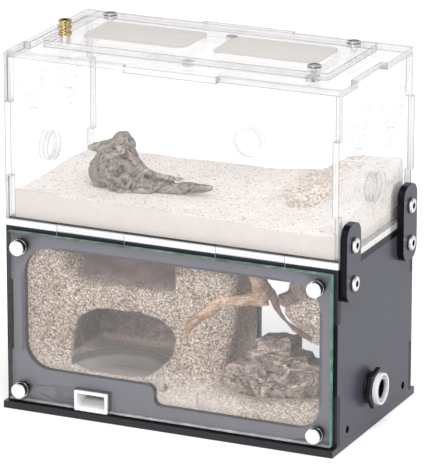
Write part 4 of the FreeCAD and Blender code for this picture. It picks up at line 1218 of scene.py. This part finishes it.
class MAKE_OT_tube_port(bpy.types.Operator):
    """Model the tube port's hexagon nut, washer and pale rim"""

    bl_idname = "habitat.tube_port"
    bl_label = "Tube port"

    def execute(self, context):
        black = moulded("black_plastic", (0.004, 0.004, 0.006), 0.22)
        rubber = moulded("port_rubber", (0.003, 0.003, 0.004), 0.30)
        pale = moulded("pale_plastic", colour_of("pale_plastic"), 0.22, 0.05)
        edge = sizes().plastic_edge
        dress("port_tube", black)
        low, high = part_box("port_washer")
        centre = middle("port_washer")
        outer = (high.z - low.z) / 2
        tube = mm(TUBE_RADIUS)
        width = high.x - low.x
        foot = hollow_ring("port_washer_foot", (low.x, *centre.yz), "X", tube, outer, width * 0.55, edge)
        lip = hollow_ring("port_washer_lip", (low.x + width * 0.5, *centre.yz), "X", tube, outer * 0.9,
                          width * 0.5, edge * 0.5)
        washer = joined([foot, lip], "port_washer_moulded")
        stand_for(washer, rubber, "port_washer")

        low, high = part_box("port_nut")
        corner = mm(NUT_FLATS) / math.sqrt(3)
        # The nut's outer face stands back from the rim.
        face = low.x + (high.x - low.x) * 0.74
        nut = hollow_ring("port_nut_moulded", (low.x, *centre.yz), "X", tube / HEXAGON, corner,
                          face - low.x, 0, 6, NUT_SPIN)
        rounded(nut, edge * 1.3)
        smooth_by_angle(nut, 30)
        stand_for(nut, black, "port_nut")

        low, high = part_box("port_rim")
        outer = (high.z - low.z) / 2
        width = high.x - low.x
        rim = hollow_ring("port_rim_outer", (face, *centre.yz), "X", outer * 0.83, outer, high.x - face,
                          edge)
        step = hollow_ring("port_rim_inner", (low.x, *centre.yz), "X", mm(4.2), outer * 0.80, width * 0.8,
                           edge * 0.8)
        groove = hollow_ring("port_rim_groove", (low.x, *centre.yz), "X", outer * 0.78, outer * 0.85,
                             width * 0.5, 0)
        grey = moulded("port_step", scaled(colour_of("pale_plastic"), 0.62), 0.3, 0.05)
        for part, finish in ((rim, pale), (step, grey), (groove, black)):
            part.data.materials.append(finish)
        rim = joined([rim, step, groove], "port_rim_moulded")
        stand_for(rim, None, "port_rim")
        return {"FINISHED"}


class MAKE_OT_water_inlet(bpy.types.Operator):
    """Model the white water inlet: a collar with rounded edges and a sloping floor"""

    bl_idname = "habitat.water_inlet"
    bl_label = "Water inlet"

    def execute(self, context):
        low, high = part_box("water_inlet")
        wall = mm(1.25)
        inlet = cuboid("water_inlet_moulded", low, high)
        pick(inlet, lambda face: face.normal.y < -0.9)
        bpy.ops.mesh.inset(thickness=wall, depth=0)
        drawn_out((0, (high.y - low.y) * 0.9, 0))
        leave()
        # The floor climbs towards the back.
        floor = low.z + wall + mm(0.2)
        back = low.y + (high.y - low.y) * 0.85
        pick(inlet, lambda point: point.co.y > back and low.z + mm(0.5) < point.co.z < floor, "VERT")
        bpy.ops.transform.translate(value=(0, 0, (high.z - low.z) * 0.40))
        leave()
        rounded(inlet, sizes().plastic_edge, degrees=25)
        smooth_by_angle(inlet)
        f = Finish("white_plastic")
        shade = colour_of("white_plastic")
        base = f.cloudy(f.noise(mm(3), 3), shade, 0.06)
        # Inside, the walls are in shade, and sand shows at the back.
        deep = f.rise(f.along(Y), low.y + mm(0.4), low.y + mm(2.5))
        blur = mm(0.2)
        across = f.between(X, low.x + wall, low.x + wall + blur, high.x - wall - blur, high.x - wall)
        within = f.times(across, f.rise(f.along(Z), high.z - wall, high.z - wall - blur))
        inner = f.times(deep, within)
        base = f.mix(f.times(inner, 0.55), base, (0.42, 0.42, 0.43))
        sandy = f.times(inner, f.rise(f.along(Z), floor + mm(1.3), floor + mm(2.0)))
        sand = f.ramp(f.noise(mm(0.9), 3), [(0.35, (0.16, 0.13, 0.11)), (0.65, (0.38, 0.33, 0.28))])
        base = f.mix(sandy, base, sand)
        white = f.done(f.principled(base, 0.38, Normal=f.bump(f.noise(mm(0.4), 2), mm(0.02), 0.3)))
        stand_for(inlet, white, "water_inlet")
        return {"FINISHED"}


class MAKE_OT_lid_mesh(bpy.types.Operator):
    """Model the two windows of woven wire in the lid, slightly slack"""

    bl_idname = "habitat.lid_mesh"
    bl_label = "Lid mesh"

    def execute(self, context):
        wire = woven_wire()
        for side in ("left", "right"):
            node = "lid_mesh_" + side
            piece = copy_of_node(node, node + "_woven")
            voxels(piece, mm(0.24))
            relief(piece, "CLOUDS", mm(11), mm(0.14))
            modify(piece, "DECIMATE", ratio=0.35)
            smooth_all(piece)
            stand_for(piece, wire, node)
        return {"FINISHED"}


# Limbs of sand, as rows of x, y, z and radius in millimetres: the pillar's round right edge, the lip along
# the basin's front, the heap at its right end and the foot before the rocks.
PILLAR_EDGE = (
    (11.0, -28.4, 3.2, 8.4), (11.6, -28.4, 24.0, 8.4), (14.6, -28.0, 38.0, 9.0), (16.8, -27.8, 52.0, 9.2),
    (18.0, -27.8, 76.0, 9.2),
)
BASIN_LIP = (
    (-48.2, -35.4, 22.0, 2.2), (-46.2, -35.4, 18.8, 2.4), (-42.0, -35.4, 17.4, 2.6),
    (-35.6, -35.4, 16.8, 2.6), (-29.5, -35.4, 16.5, 2.6), (-23.5, -35.4, 16.6, 2.6),
    (-16.0, -35.4, 17.2, 2.6),
)
BASIN_HEAP = (
    (-17.0, -35.4, 15.6, 2.2), (-12.0, -35.4, 17.6, 3.0), (-6.8, -35.2, 20.4, 3.4),
    (-3.0, -35.2, 23.6, 3.6), (0.6, -35.2, 27.6, 3.6), (2.6, -35.2, 33.0, 3.4), (3.6, -35.2, 40.0, 3.0),
)
SAND_FOOT = (
    (10.0, -31.0, 15.0, 8.0), (17.0, -31.5, 12.6, 8.4), (24.0, -32.2, 9.6, 8.2), (34.0, -32.8, 8.6, 8.0),
    (44.0, -33.0, 9.4, 8.2), (55.0, -33.0, 11.0, 8.4), (66.0, -33.0, 13.0, 8.8), (72.0, -33.0, 14.0, 9.0),
)


class MAKE_OT_nest_sand(bpy.types.Operator):
    """Model the sand bank with its cave and alcove, the sandy floor and the lump on the right wall"""

    bl_idname = "habitat.nest_sand"
    bl_label = "Nest sand"

    def execute(self, context):
        cell = sizes().nest_voxel
        lumps = sizes().nest_lumps
        sand = nest_sand()
        front = NEST[0].y
        limbs = [kept_within(limb("limb", in_millimetres(rows), 28), *NEST)
                 for rows in (BASIN_LIP, BASIN_HEAP, PILLAR_EDGE)]
        bank = joined([copy_of_node("sand_block", "nest_sand_bank")] + limbs, "nest_sand_bank")
        voxels(bank, cell * 1.3)
        # The pillar's right edge is worn round, and so are the rims of the hollows.
        corner = PILLAR_EDGE[0][0] / 1000
        worn(bank, lambda x, y, z: x > corner - mm(9) and y < front + mm(18), 24)
        alcove = nest_z(0.71)
        worn(bank, lambda x, y, z: mm(-58) < x < mm(-34) and z > alcove and mm(-1) < y - front < mm(16), 26)
        worn(bank, lambda x, y, z: x < mm(1) and z > alcove and mm(0.6) < y - front < mm(16), 8)
        worn(bank, lambda x, y, z: x < mm(4) and mm(26) < z < alcove and mm(0.4) < y - front < mm(40), 8)
        voxels(bank, cell)
        loose = loose_group(bank, lambda point: point.y > front + mm(0.6))
        relief(bank, "CLOUDS", mm(6), lumps, 0.8, loose, noise_depth=2)
        relief(bank, "CLOUDS", mm(1.6), lumps * 0.55, 0.6, loose)
        smooth_all(bank)
        stand_for(bank, sand, "sand_block")

        floor = copy_of_node("sand_floor", "nest_sand_floor")
        low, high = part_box("sand_floor")
        floor = joined([floor, limb("foot", in_millimetres(SAND_FOOT), 24)], "nest_sand_floor")
        voxels(floor, cell * 1.3)
        worn(floor, lambda x, y, z: y < front + mm(14) and z > low.z + mm(3), 10)
        voxels(floor, cell)
        relief(floor, "CLOUDS", mm(7), lumps * 0.9, 0.6, noise_depth=2)
        relief(floor, "CLOUDS", mm(1.6), lumps * 0.4, 0.6)
        kept_within(floor, Vector((NEST[0].x, front, low.z)), Vector((high.x, high.y, NEST[1].z)))
        smooth_all(floor)
        stand_for(floor, sand, "sand_floor")

        lump = copy_of_node("sand_wall_right", "nest_sand_lump")
        parts = [limb("lump", in_millimetres(rows), 24) for rows in LUMP_LIMBS]
        lump = joined([lump] + parts, "nest_sand_lump")
        voxels(lump, cell)
        even_out(lump, 4)
        relief(lump, "CLOUDS", mm(6), lumps * 1.2, 0.4, noise_depth=2)
        relief(lump, "CLOUDS", mm(1.6), lumps * 0.5, 0.5)
        kept_within(lump, *NEST)
        smooth_all(lump)
        stand_for(lump, sand, "sand_wall_right")
        return {"FINISHED"}


class MAKE_OT_basin(bpy.types.Operator):
    """Model the smooth plaster basin under the cave"""

    bl_idname = "habitat.basin"
    bl_label = "Basin"

    def execute(self, context):
        low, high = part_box("basin")
        basin = copy_of_node("basin", "basin_plaster")
        # The hollow is steep at its rim and flat inside.
        reach = (high.x - low.x) / 2
        steps = [(0.78, 0.5), (0.84, 0.5), (0.885, 0.7), (0.92, 0.9), (0.945, 1.2), (0.96, 2.6)]
        depth = sum(height for _, height in steps) - 0.6
        hollow = turned("hollow", ((low.x + high.x) / 2, low.y, high.z - mm(depth)), "Z",
                        [(reach * share, mm(height)) for share, height in steps], 0, 96)
        modify(basin, "BOOLEAN", object=hollow, operation="DIFFERENCE", solver="EXACT")
        bpy.data.objects.remove(hollow)
        voxels(basin, mm(0.5))
        even_out(basin, 5)
        relief(basin, "CLOUDS", mm(9), mm(0.35), 1.0)
        # Its front stands a hair behind the glass.
        pick(basin, lambda point: point.co.y < low.y + mm(0.25), "VERT")
        bpy.ops.transform.translate(value=(0, mm(0.3), 0))
        leave()
        smooth_all(basin)
        stand_for(basin, plaster(), "basin")
        return {"FINISHED"}


# Chunks of each rock, in millimetres: left, right, front and back behind the nest's front plane, bottom,
# top, then the tilt about the depth and the slope down to the back, in degrees.
ROCK_CHUNKS = {
    "rock_lower": (
        (20, 35, 9, 24, 13, 21.5, 2, 6), (24.2, 36, 10, 26, 19, 30, 4, 10),
        (34, 47, 9.2, 26, 13.5, 26, -5, 6), (46.5, 63, 9.2, 26, 14.5, 24, -9, 8),
        (43, 54, 11.5, 28, 21, 30, -10, 8), (53, 66, 12, 30, 20, 29.5, -3, 8),
        (16.5, 27, 7.5, 24, 15, 24.5, -24, 6), (19, 31, 8.5, 24, 20, 30, -30, 4),
    ),
    "rock_middle": (
        (34.5, 46.8, 12.4, 27, 24.5, 32.6, -3, 6), (25.5, 36, 13.5, 27, 27, 33.8, -18, 4),
        (43.7, 53.6, 14, 25, 26.5, 33.6, 5, 2), (52, 61, 14, 26, 26.6, 30.6, 0, 4),
    ),
    "rock_upper": (
        (31, 46.4, 15, 27, 32.4, 38.6, -2, 2), (35, 46.8, 15.6, 27, 35, 39.4, -5, 2),
        (29.4, 37, 16, 26, 32.6, 37.4, -16, 2),
    ),
}


def chunk(name, shares, seed):
    """One broken chunk of rock: rough, its corners knocked off, its back lower than its front."""
    left, right, front, back, bottom, top, tilt, slope = shares
    low = Vector((mm(left), NEST[0].y + mm(front), mm(bottom)))
    high = Vector((mm(right), NEST[0].y + mm(back), mm(top)))
    centre = (low + high) / 2
    piece = cuboid(name, low, high)
    modify(piece, "BEVEL", width=min(high - low) * 0.16, segments=1, limit_method="NONE")
    open_whole(piece)
    bpy.ops.mesh.subdivide(number_cuts=1)
    bpy.ops.transform.vertex_random(offset=min(high - low) * 0.13, uniform=1.0, normal=0.0, seed=seed)
    bpy.ops.transform.rotate(value=-math.radians(tilt), orient_axis="Y", center_override=centre)
    bpy.ops.transform.rotate(value=math.radians(slope), orient_axis="X",
                             center_override=(centre.x, low.y, centre.z))
    leave()
    return piece


class MAKE_OT_rocks(bpy.types.Operator):
    """Model the stack of broken, layered rocks"""

    bl_idname = "habitat.rocks"
    bl_label = "Rocks"

    def execute(self, context):
        stone = rock()
        spare = Vector((mm(1.2), mm(1.2), mm(1.2)))
        for seed, (node, chunks) in enumerate(ROCK_CHUNKS.items(), start=1):
            low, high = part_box(node)
            parts = [chunk("chunk", shares, seed * 40 + number) for number, shares in enumerate(chunks)]
            piece = joined(parts, node + "_broken")
            voxels(piece, mm(0.8))
            # Splintered faces: every splinter stands out by its own amount, with flat breaks between.
            relief(piece, "VORONOI", mm(5), sizes().rock_relief * 1.5, 0.5, color_mode="POSITION")
            even_out(piece, 1)
            modify(piece, "DECIMATE", ratio=0.045)
            voxels(piece, mm(0.42))
            relief(piece, "VORONOI", mm(1.8), sizes().rock_relief * 0.22, 0.5, color_mode="POSITION")
            relief(piece, "CLOUDS", mm(1.1), sizes().rock_relief * 0.2, 0.5, noise_depth=3)
            kept_within(piece, low - spare, high + spare)
            smooth_by_angle(piece, 42)
            stand_for(piece, stone, node)
        return {"FINISHED"}


# Limbs of the twigs, the root and the lump of sand under it, as rows of x, y, z and radius in millimetres.
TAN_LIMBS = (
    ((5.4, -38.2, 40.4, 1.7), (6.8, -38.1, 44.0, 1.9), (9.0, -38.0, 47.0, 1.9), (12.6, -37.8, 50.2, 2.0),
     (16.6, -37.0, 53.6, 2.2), (20.4, -34.8, 56.9, 2.5), (24.2, -32.8, 57.6, 2.4), (28.4, -31.2, 57.3, 2.5),
     (32.6, -30.2, 58.2, 3.1), (36.0, -29.6, 58.4, 3.2), (39.2, -29.4, 57.9, 2.0)),
    ((6.4, -38.2, 43.6, 0.8), (6.6, -38.2, 46.8, 0.8), (7.6, -38.1, 49.2, 0.7)),
    ((36.0, -29.0, 57.8, 3.2), (35.9, -28.3, 60.6, 3.5), (35.0, -27.5, 63.8, 3.6), (33.9, -27.0, 66.6, 3.7),
     (33.2, -26.6, 71.0, 3.8)),
    ((37.6, -28.6, 57.8, 2.6), (37.2, -28.0, 61.0, 2.4), (36.0, -27.4, 66.0, 2.2)),
)
DARK_ROOT = (
    (42.6, -34.0, 64.4, 1.6), (43.7, -34.0, 62.4, 1.9), (44.5, -34.0, 60.2, 1.8), (45.3, -34.0, 58.0, 1.5),
    (46.2, -33.8, 56.0, 1.1), (47.5, -33.5, 54.0, 0.8), (49.1, -33.2, 52.1, 0.6), (51.0, -33.0, 50.4, 0.7),
    (53.2, -32.8, 48.8, 1.15), (55.6, -32.5, 47.2, 1.3), (57.9, -32.2, 45.9, 1.0), (60.0, -32.0, 44.9, 0.4),
)
DARK_BUMP = (
    (44.0, -33.8, 61.6, 1.5), (42.4, -34.0, 64.0, 1.5), (41.0, -34.0, 66.4, 1.3), (40.0, -34.0, 68.2, 0.9),
)
OVERHANG_LIMBS = (
    ((43.8, -28.4, 59.2, 1.9), (45.8, -27.8, 59.6, 2.3), (48.6, -27.0, 61.0, 2.9), (52.4, -25.6, 62.8, 3.6),
     (57.0, -23.6, 63.8, 3.8), (64.0, -21.0, 64.6, 4.2), (72.0, -20.0, 65.0, 4.6)),
    ((49.4, -27.0, 63.4, 2.0), (51.0, -26.6, 65.6, 2.5), (53.2, -26.0, 68.4, 3.0),
     (55.2, -25.6, 71.5, 3.2)),
    ((52.0, -26.2, 64.4, 3.0), (56.6, -25.2, 66.8, 4.0), (64.0, -23.4, 69.0, 5.0),
     (72.0, -22.0, 70.0, 5.6)),
    ((45.0, -28.0, 57.6, 1.6), (48.0, -27.4, 58.4, 1.7), (51.0, -27.0, 59.8, 1.8)),
)
LUMP_LIMBS = (
    ((45.6, -24.4, 54.6, 2.2), (49.4, -24.2, 54.6, 5.0), (55.2, -23.6, 54.2, 7.0), (62.4, -23.2, 54.2, 8.4),
     (72.0, -25.2, 54.0, 9.6)),
    ((46.4, -26.4, 53.4, 1.3), (49.2, -26.2, 52.0, 2.2), (54.0, -26.0, 50.8, 3.2), (60.6, -25.8, 50.4, 3.7),
     (72.0, -26.0, 49.2, 4.2)),
    ((54.5, -26.6, 57.0, 3.6), (59.0, -26.4, 60.0, 4.2), (65.0, -26.2, 62.6, 5.6),
     (72.0, -26.0, 64.0, 7.0)),
)


class MAKE_OT_twigs(bpy.types.Operator):
    """Model the forked pale twig, the dark twig and the brown root that overhangs"""

    bl_idname = "habitat.twigs"
    bl_label = "Twigs"

    def execute(self, context):
        tan = joined([limb("twig", in_millimetres(rows)) for rows in TAN_LIMBS], "tan_twig_forked")
        voxels(tan, mm(0.42))
        even_out(tan, 3)
        relief(tan, "CLOUDS", mm(4.5), mm(1.3), 0.6)
        relief(tan, "CLOUDS", mm(1.1), mm(0.35), 0.5)
        kept_within(tan, NEST[0] - Vector((0, mm(2.9), 0)), NEST[1])
        smooth_all(tan)
        stand_for(tan, bark("tan_wood", colour_of("tan_wood"), (0, 20, 0), 0.42), "tan_twig")

        dark = limb("dark_twig_bark", in_millimetres(DARK_ROOT), 14)
        dark = joined([dark, limb("bump", in_millimetres(DARK_BUMP), 12)], "dark_twig_bark")
        voxels(dark, mm(0.32))
        relief(dark, "CLOUDS", mm(1.6), mm(0.5), 0.5)
        relief(dark, "CLOUDS", mm(0.7), mm(0.2), 0.5)
        smooth_all(dark)
        stand_for(dark, bark("dark_wood", colour_of("dark_wood"), (0, 40, 0), 0.5), "dark_twig")

        parts = [limb("root", in_millimetres(rows), 18) for rows in OVERHANG_LIMBS]
        root = joined(parts, "root_overhang_bark")
        voxels(root, mm(0.6))
        even_out(root, 3)
        relief(root, "CLOUDS", mm(5.5), mm(2.2), 0.5, noise_depth=2)
        relief(root, "VORONOI", mm(4.4), mm(2.2), 0.5, color_mode="POSITION")
        even_out(root, 1)
        modify(root, "DECIMATE", ratio=0.06)
        voxels(root, mm(0.42))
        relief(root, "CLOUDS", mm(1.2), mm(0.35), 0.5)
        kept_within(root, *NEST)
        smooth_all(root)
        brown = bark("root_wood", (0.34, 0.265, 0.225), (0, -30, 0), 0.5)
        stand_for(root, brown, "root_overhang")
        return {"FINISHED"}


class MAKE_OT_arena_sand(bpy.types.Operator):
    """Model the arena's bed of loose sand with its crater"""

    bl_idname = "habitat.arena_sand"
    bl_label = "Arena sand"

    def execute(self, context):
        bed = copy_of_node("arena_sand", "arena_sand_bed")
        voxels(bed, mm(1.0))
        low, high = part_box("arena_sand")
        gap = mm(0.6)
        # The bed climbs a little towards the back.
        for start in (2, 12, 22, 30):
            pick(bed, lambda point: point.co.y > mm(start) and point.co.z > ARENA[0].z + mm(4), "VERT")
            bpy.ops.transform.translate(value=(0, 0, mm(0.55)))
            leave()
        worn(bed, lambda x, y, z: z > ARENA[0].z + mm(4) and y > low.y + mm(1.6), 16)
        loose = loose_group(bed, lambda point: point.y > low.y + gap
                            and low.x + gap < point.x < high.x - gap)
        relief(bed, "CLOUDS", mm(14), sizes().arena_relief, 0.8, loose)
        relief(bed, "CLOUDS", mm(3), sizes().arena_relief * 0.4, 0.6, loose)
        smooth_by_angle(bed, 50)
        stand_for(bed, arena_sand(), "arena_sand")
        return {"FINISHED"}


# The driftwood's limbs, as rows of the place across, deep and high in the arena, and the radius in
# millimetres.
DRIFTWOOD_LIMBS = (
    # head, from the sand up to the peak
    ((-0.60, -0.41, 0.19, 4.8), (-0.555, -0.41, 0.29, 6.6), (-0.51, -0.40, 0.37, 6.4),
     (-0.468, -0.37, 0.435, 5.2), (-0.452, -0.35, 0.474, 4.2)),
    # spike to the left
    ((-0.50, -0.42, 0.41, 4.4), (-0.56, -0.44, 0.42, 2.8), (-0.62, -0.46, 0.412, 1.7),
     (-0.66, -0.47, 0.405, 0.7)),
    # bulge below the notch
    ((-0.54, -0.44, 0.27, 5.6), (-0.60, -0.46, 0.28, 4.6), (-0.65, -0.46, 0.275, 2.8)),
    # body to the tail's end
    ((-0.53, -0.40, 0.235, 6.4), (-0.42, -0.39, 0.21, 5.0), (-0.31, -0.37, 0.19, 3.6),
     (-0.20, -0.33, 0.190, 2.5), (-0.10, -0.31, 0.198, 2.2), (0.00, -0.29, 0.206, 1.9),
     (0.075, -0.28, 0.212, 1.1)),
    # upper blade, from the peak down to its own tip
    ((-0.45, -0.36, 0.445, 3.4), (-0.417, -0.35, 0.38, 2.3), (-0.375, -0.34, 0.305, 1.8),
     (-0.32, -0.33, 0.262, 1.4), (-0.23, -0.33, 0.250, 1.2), (-0.15, -0.33, 0.252, 1.15),
     (-0.085, -0.34, 0.256, 0.8)),
    # brow
    ((-0.50, -0.40, 0.448, 3.4), (-0.465, -0.38, 0.470, 3.6), (-0.43, -0.37, 0.462, 3.2)),
    # ridge from the brow down to the blade, and one below it
    ((-0.475, -0.53, 0.455, 1.0), (-0.435, -0.51, 0.425, 1.3), (-0.395, -0.45, 0.375, 1.2),
     (-0.345, -0.42, 0.310, 1.1), (-0.28, -0.38, 0.275, 0.9), (-0.18, -0.37, 0.262, 0.8)),
    ((-0.45, -0.42, 0.35, 3.2), (-0.40, -0.41, 0.30, 2.6), (-0.33, -0.40, 0.255, 1.8)),
    # folds of the left cheek and the foot
    ((-0.565, -0.60, 0.36, 0.9), (-0.535, -0.60, 0.31, 1.3), (-0.50, -0.58, 0.26, 1.2),
     (-0.455, -0.56, 0.235, 0.9)),
    ((-0.50, -0.57, 0.19, 1.0), (-0.44, -0.57, 0.175, 1.3), (-0.36, -0.52, 0.175, 1.1),
     (-0.26, -0.46, 0.180, 0.8)),
)


class MAKE_OT_driftwood(bpy.types.Operator):
    """Model the piece of driftwood on the arena's sand"""

    bl_idname = "habitat.driftwood"
    bl_label = "Driftwood"

    def execute(self, context):
        parts = [limb("limb", [(inside(ARENA, *row[:3]), mm(row[3])) for row in rows], 20)
                 for rows in DRIFTWOOD_LIMBS]
        # A knot with a raised rim.
        knot = inside(ARENA, -0.415, -0.52, 0.232)
        parts.append(hollow_ring("knot", knot, "-Y", mm(1.5), mm(3.1), mm(1.7), 0, 24))
        wood = joined(parts, "driftwood_weathered")
        voxels(wood, mm(0.45))
        even_out(wood, 4)
        relief(wood, "CLOUDS", mm(7), sizes().wood_relief, 0.5)
        relief(wood, "WOOD", mm(2.4), sizes().wood_relief * 0.6, 0.5, wood_type="BANDNOISE", turbulence=3.0)
        relief(wood, "CLOUDS", mm(1.6), sizes().wood_relief * 0.25, 0.5)
        smooth_all(wood)
        stand_for(wood, weathered_wood(), "driftwood")
        return {"FINISHED"}


# ---- stage ----------------------------------------------------------------------------------------

CAMERA_TARGET = Vector((mm(-1.2), mm(5.0), mm(72.6)))
CAMERA_AZIMUTH = 24.56
CAMERA_ELEVATION = 17.33
CAMERA_DISTANCE = 1.821
CAMERA_LENS = 337.7
AMBIENT = 0.82
WEDGE_WAY = (0.416, -0.909, 0)  # towards the camera, along the floor
KEY_POWER = 9.5
FRONT_POWER = 6.0


def lamp(name, place, aim, power, size):
    """A square soft light."""
    light = bpy.data.lights.new(name, "AREA")
    light.energy = power
    light.shape = "SQUARE"
    light.size = size
    holder = bpy.data.objects.new(name, light)
    bpy.context.scene.collection.objects.link(holder)
    holder.location = place
    holder.rotation_euler = (aim - place).to_track_quat("-Z", "Y").to_euler()


class MAKE_OT_stage(bpy.types.Operator):
    """Make the floor, the white surroundings, the lights and the camera"""

    bl_idname = "habitat.stage"
    bl_label = "Stage"

    def execute(self, context):
        scene = context.scene
        bpy.ops.object.select_all(action="DESELECT")
        bpy.ops.mesh.primitive_plane_add(size=30, location=(0, 0, CAD_LOW.z - mm(0.2)))
        floor = added("floor")
        f = Finish("floor_white")
        # Curved metal mirrors a dark wedge of the floor before the object.
        level = f.vector("MULTIPLY", f.place, (1, 1, 0))
        ahead = f.vector("DOT_PRODUCT", f.vector("NORMALIZE", level), WEDGE_WAY, "Value")
        wedge = f.times(f.rise(ahead, 0.90, 0.955), f.ray("Glossy"),
                        f.rise(f.vector("LENGTH", level, output="Value"), 0.30, 0.40))
        white = f.mix(f.noise(0.4, 2), (0.86, 0.86, 0.86), (0.88, 0.88, 0.88))
        paper = f.principled(f.mix(wedge, white, (0.02, 0.02, 0.02)), 0.9, Specular_IOR_Level=0.0)
        lit = f.times(f.seen_rays(), 0.30, f.rest(wedge))
        glow = f.add("ShaderNodeEmission", {0: (1, 1, 1, 1), 1: lit})
        f.done(f.add("ShaderNodeAddShader", {0: paper, 1: glow.outputs[0]}).outputs[0])
        floor.data.materials.append(f.material)

        world = bpy.data.worlds.new("surroundings")
        scene.world = world
        world.use_nodes = True
        w = Nodes(world.node_tree)
        # Polished metal mirrors a dark ceiling above the white walls.
        height = w.along(Z, w.add("ShaderNodeTexCoord").outputs["Generated"])
        ceiling = w.times(w.rise(height, 0.55, 0.70), w.ray("Glossy"))
        strength = w.add("ShaderNodeMapRange", {0: w.seen_rays(), 3: AMBIENT, 4: 1.0}).outputs[0]
        background = w.tree.nodes["Background"]
        w.tree.links.new(w.mix(ceiling, (1, 1, 1), (0.10, 0.10, 0.11)), background.inputs[0])
        w.tree.links.new(strength, background.inputs[1])

        aim = Vector((0, 0, mm(80)))
        lamp("key", Vector((0.55, -0.75, 1.15)), aim, KEY_POWER, 0.7)
        lamp("front", Vector((0.10, -1.45, 0.50)), aim, FRONT_POWER, 0.9)

        azimuth = math.radians(CAMERA_AZIMUTH)
        elevation = math.radians(CAMERA_ELEVATION)
        back = Vector((math.sin(azimuth) * math.cos(elevation), -math.cos(azimuth) * math.cos(elevation),
                       math.sin(elevation)))
        data = bpy.data.cameras.new("camera")
        data.lens = CAMERA_LENS
        data.clip_end = 50
        camera = bpy.data.objects.new("camera", data)
        scene.collection.objects.link(camera)
        camera.location = CAMERA_TARGET + back * CAMERA_DISTANCE
        camera.rotation_euler = (-back).to_track_quat("-Z", "Y").to_euler()
        scene.camera = camera
        scene.view_settings.view_transform = "Standard"
        scene.cycles.transparent_max_bounces = 64
        return {"FINISHED"}


# ---- panel and order ------------------------------------------------------------------------------

OPERATORS = (
    MAKE_OT_stage, MAKE_OT_black_sheets, MAKE_OT_clear_sheets, MAKE_OT_front_glass, MAKE_OT_thumb_screws,
    MAKE_OT_lid_fittings, MAKE_OT_bracket_screws, MAKE_OT_tube_port, MAKE_OT_water_inlet, MAKE_OT_lid_mesh,
    MAKE_OT_nest_sand, MAKE_OT_basin, MAKE_OT_rocks, MAKE_OT_twigs, MAKE_OT_arena_sand, MAKE_OT_driftwood,
)


class HABITAT_PT_looks(bpy.types.Panel):
    """Lists the pieces and their settings"""

    bl_label = "Ant habitat"
    bl_idname = "HABITAT_PT_looks"
    bl_space_type = "VIEW_3D"
    bl_region_type = "UI"
    bl_category = "Habitat"

    def draw(self, context):
        column = self.layout.column()
        for operator in OPERATORS:
            column.operator(operator.bl_idname)
        for group in (context.scene.habitat_sizes, context.scene.habitat_colours):
            for name in group.bl_rna.properties.keys():
                if name not in ("rna_type", "name"):
                    column.prop(group, name)


CLASSES = (HabitatSizes, HabitatColours, *OPERATORS, HABITAT_PT_looks)


def register():
    """Registers the classes and hangs the settings on the scene."""
    for made in CLASSES:
        bpy.utils.register_class(made)
    bpy.types.Scene.habitat_sizes = bpy.props.PointerProperty(type=HabitatSizes)
    bpy.types.Scene.habitat_colours = bpy.props.PointerProperty(type=HabitatColours)


def unregister():
    """Undoes register()."""
    del bpy.types.Scene.habitat_colours
    del bpy.types.Scene.habitat_sizes
    for made in reversed(CLASSES):
        bpy.utils.unregister_class(made)


def main():
    """Runs every operator in order."""
    register()
    for operator in OPERATORS:
        getattr(bpy.ops.habitat, operator.bl_idname.split(".")[1])()


if __name__ == "__main__":
    main()
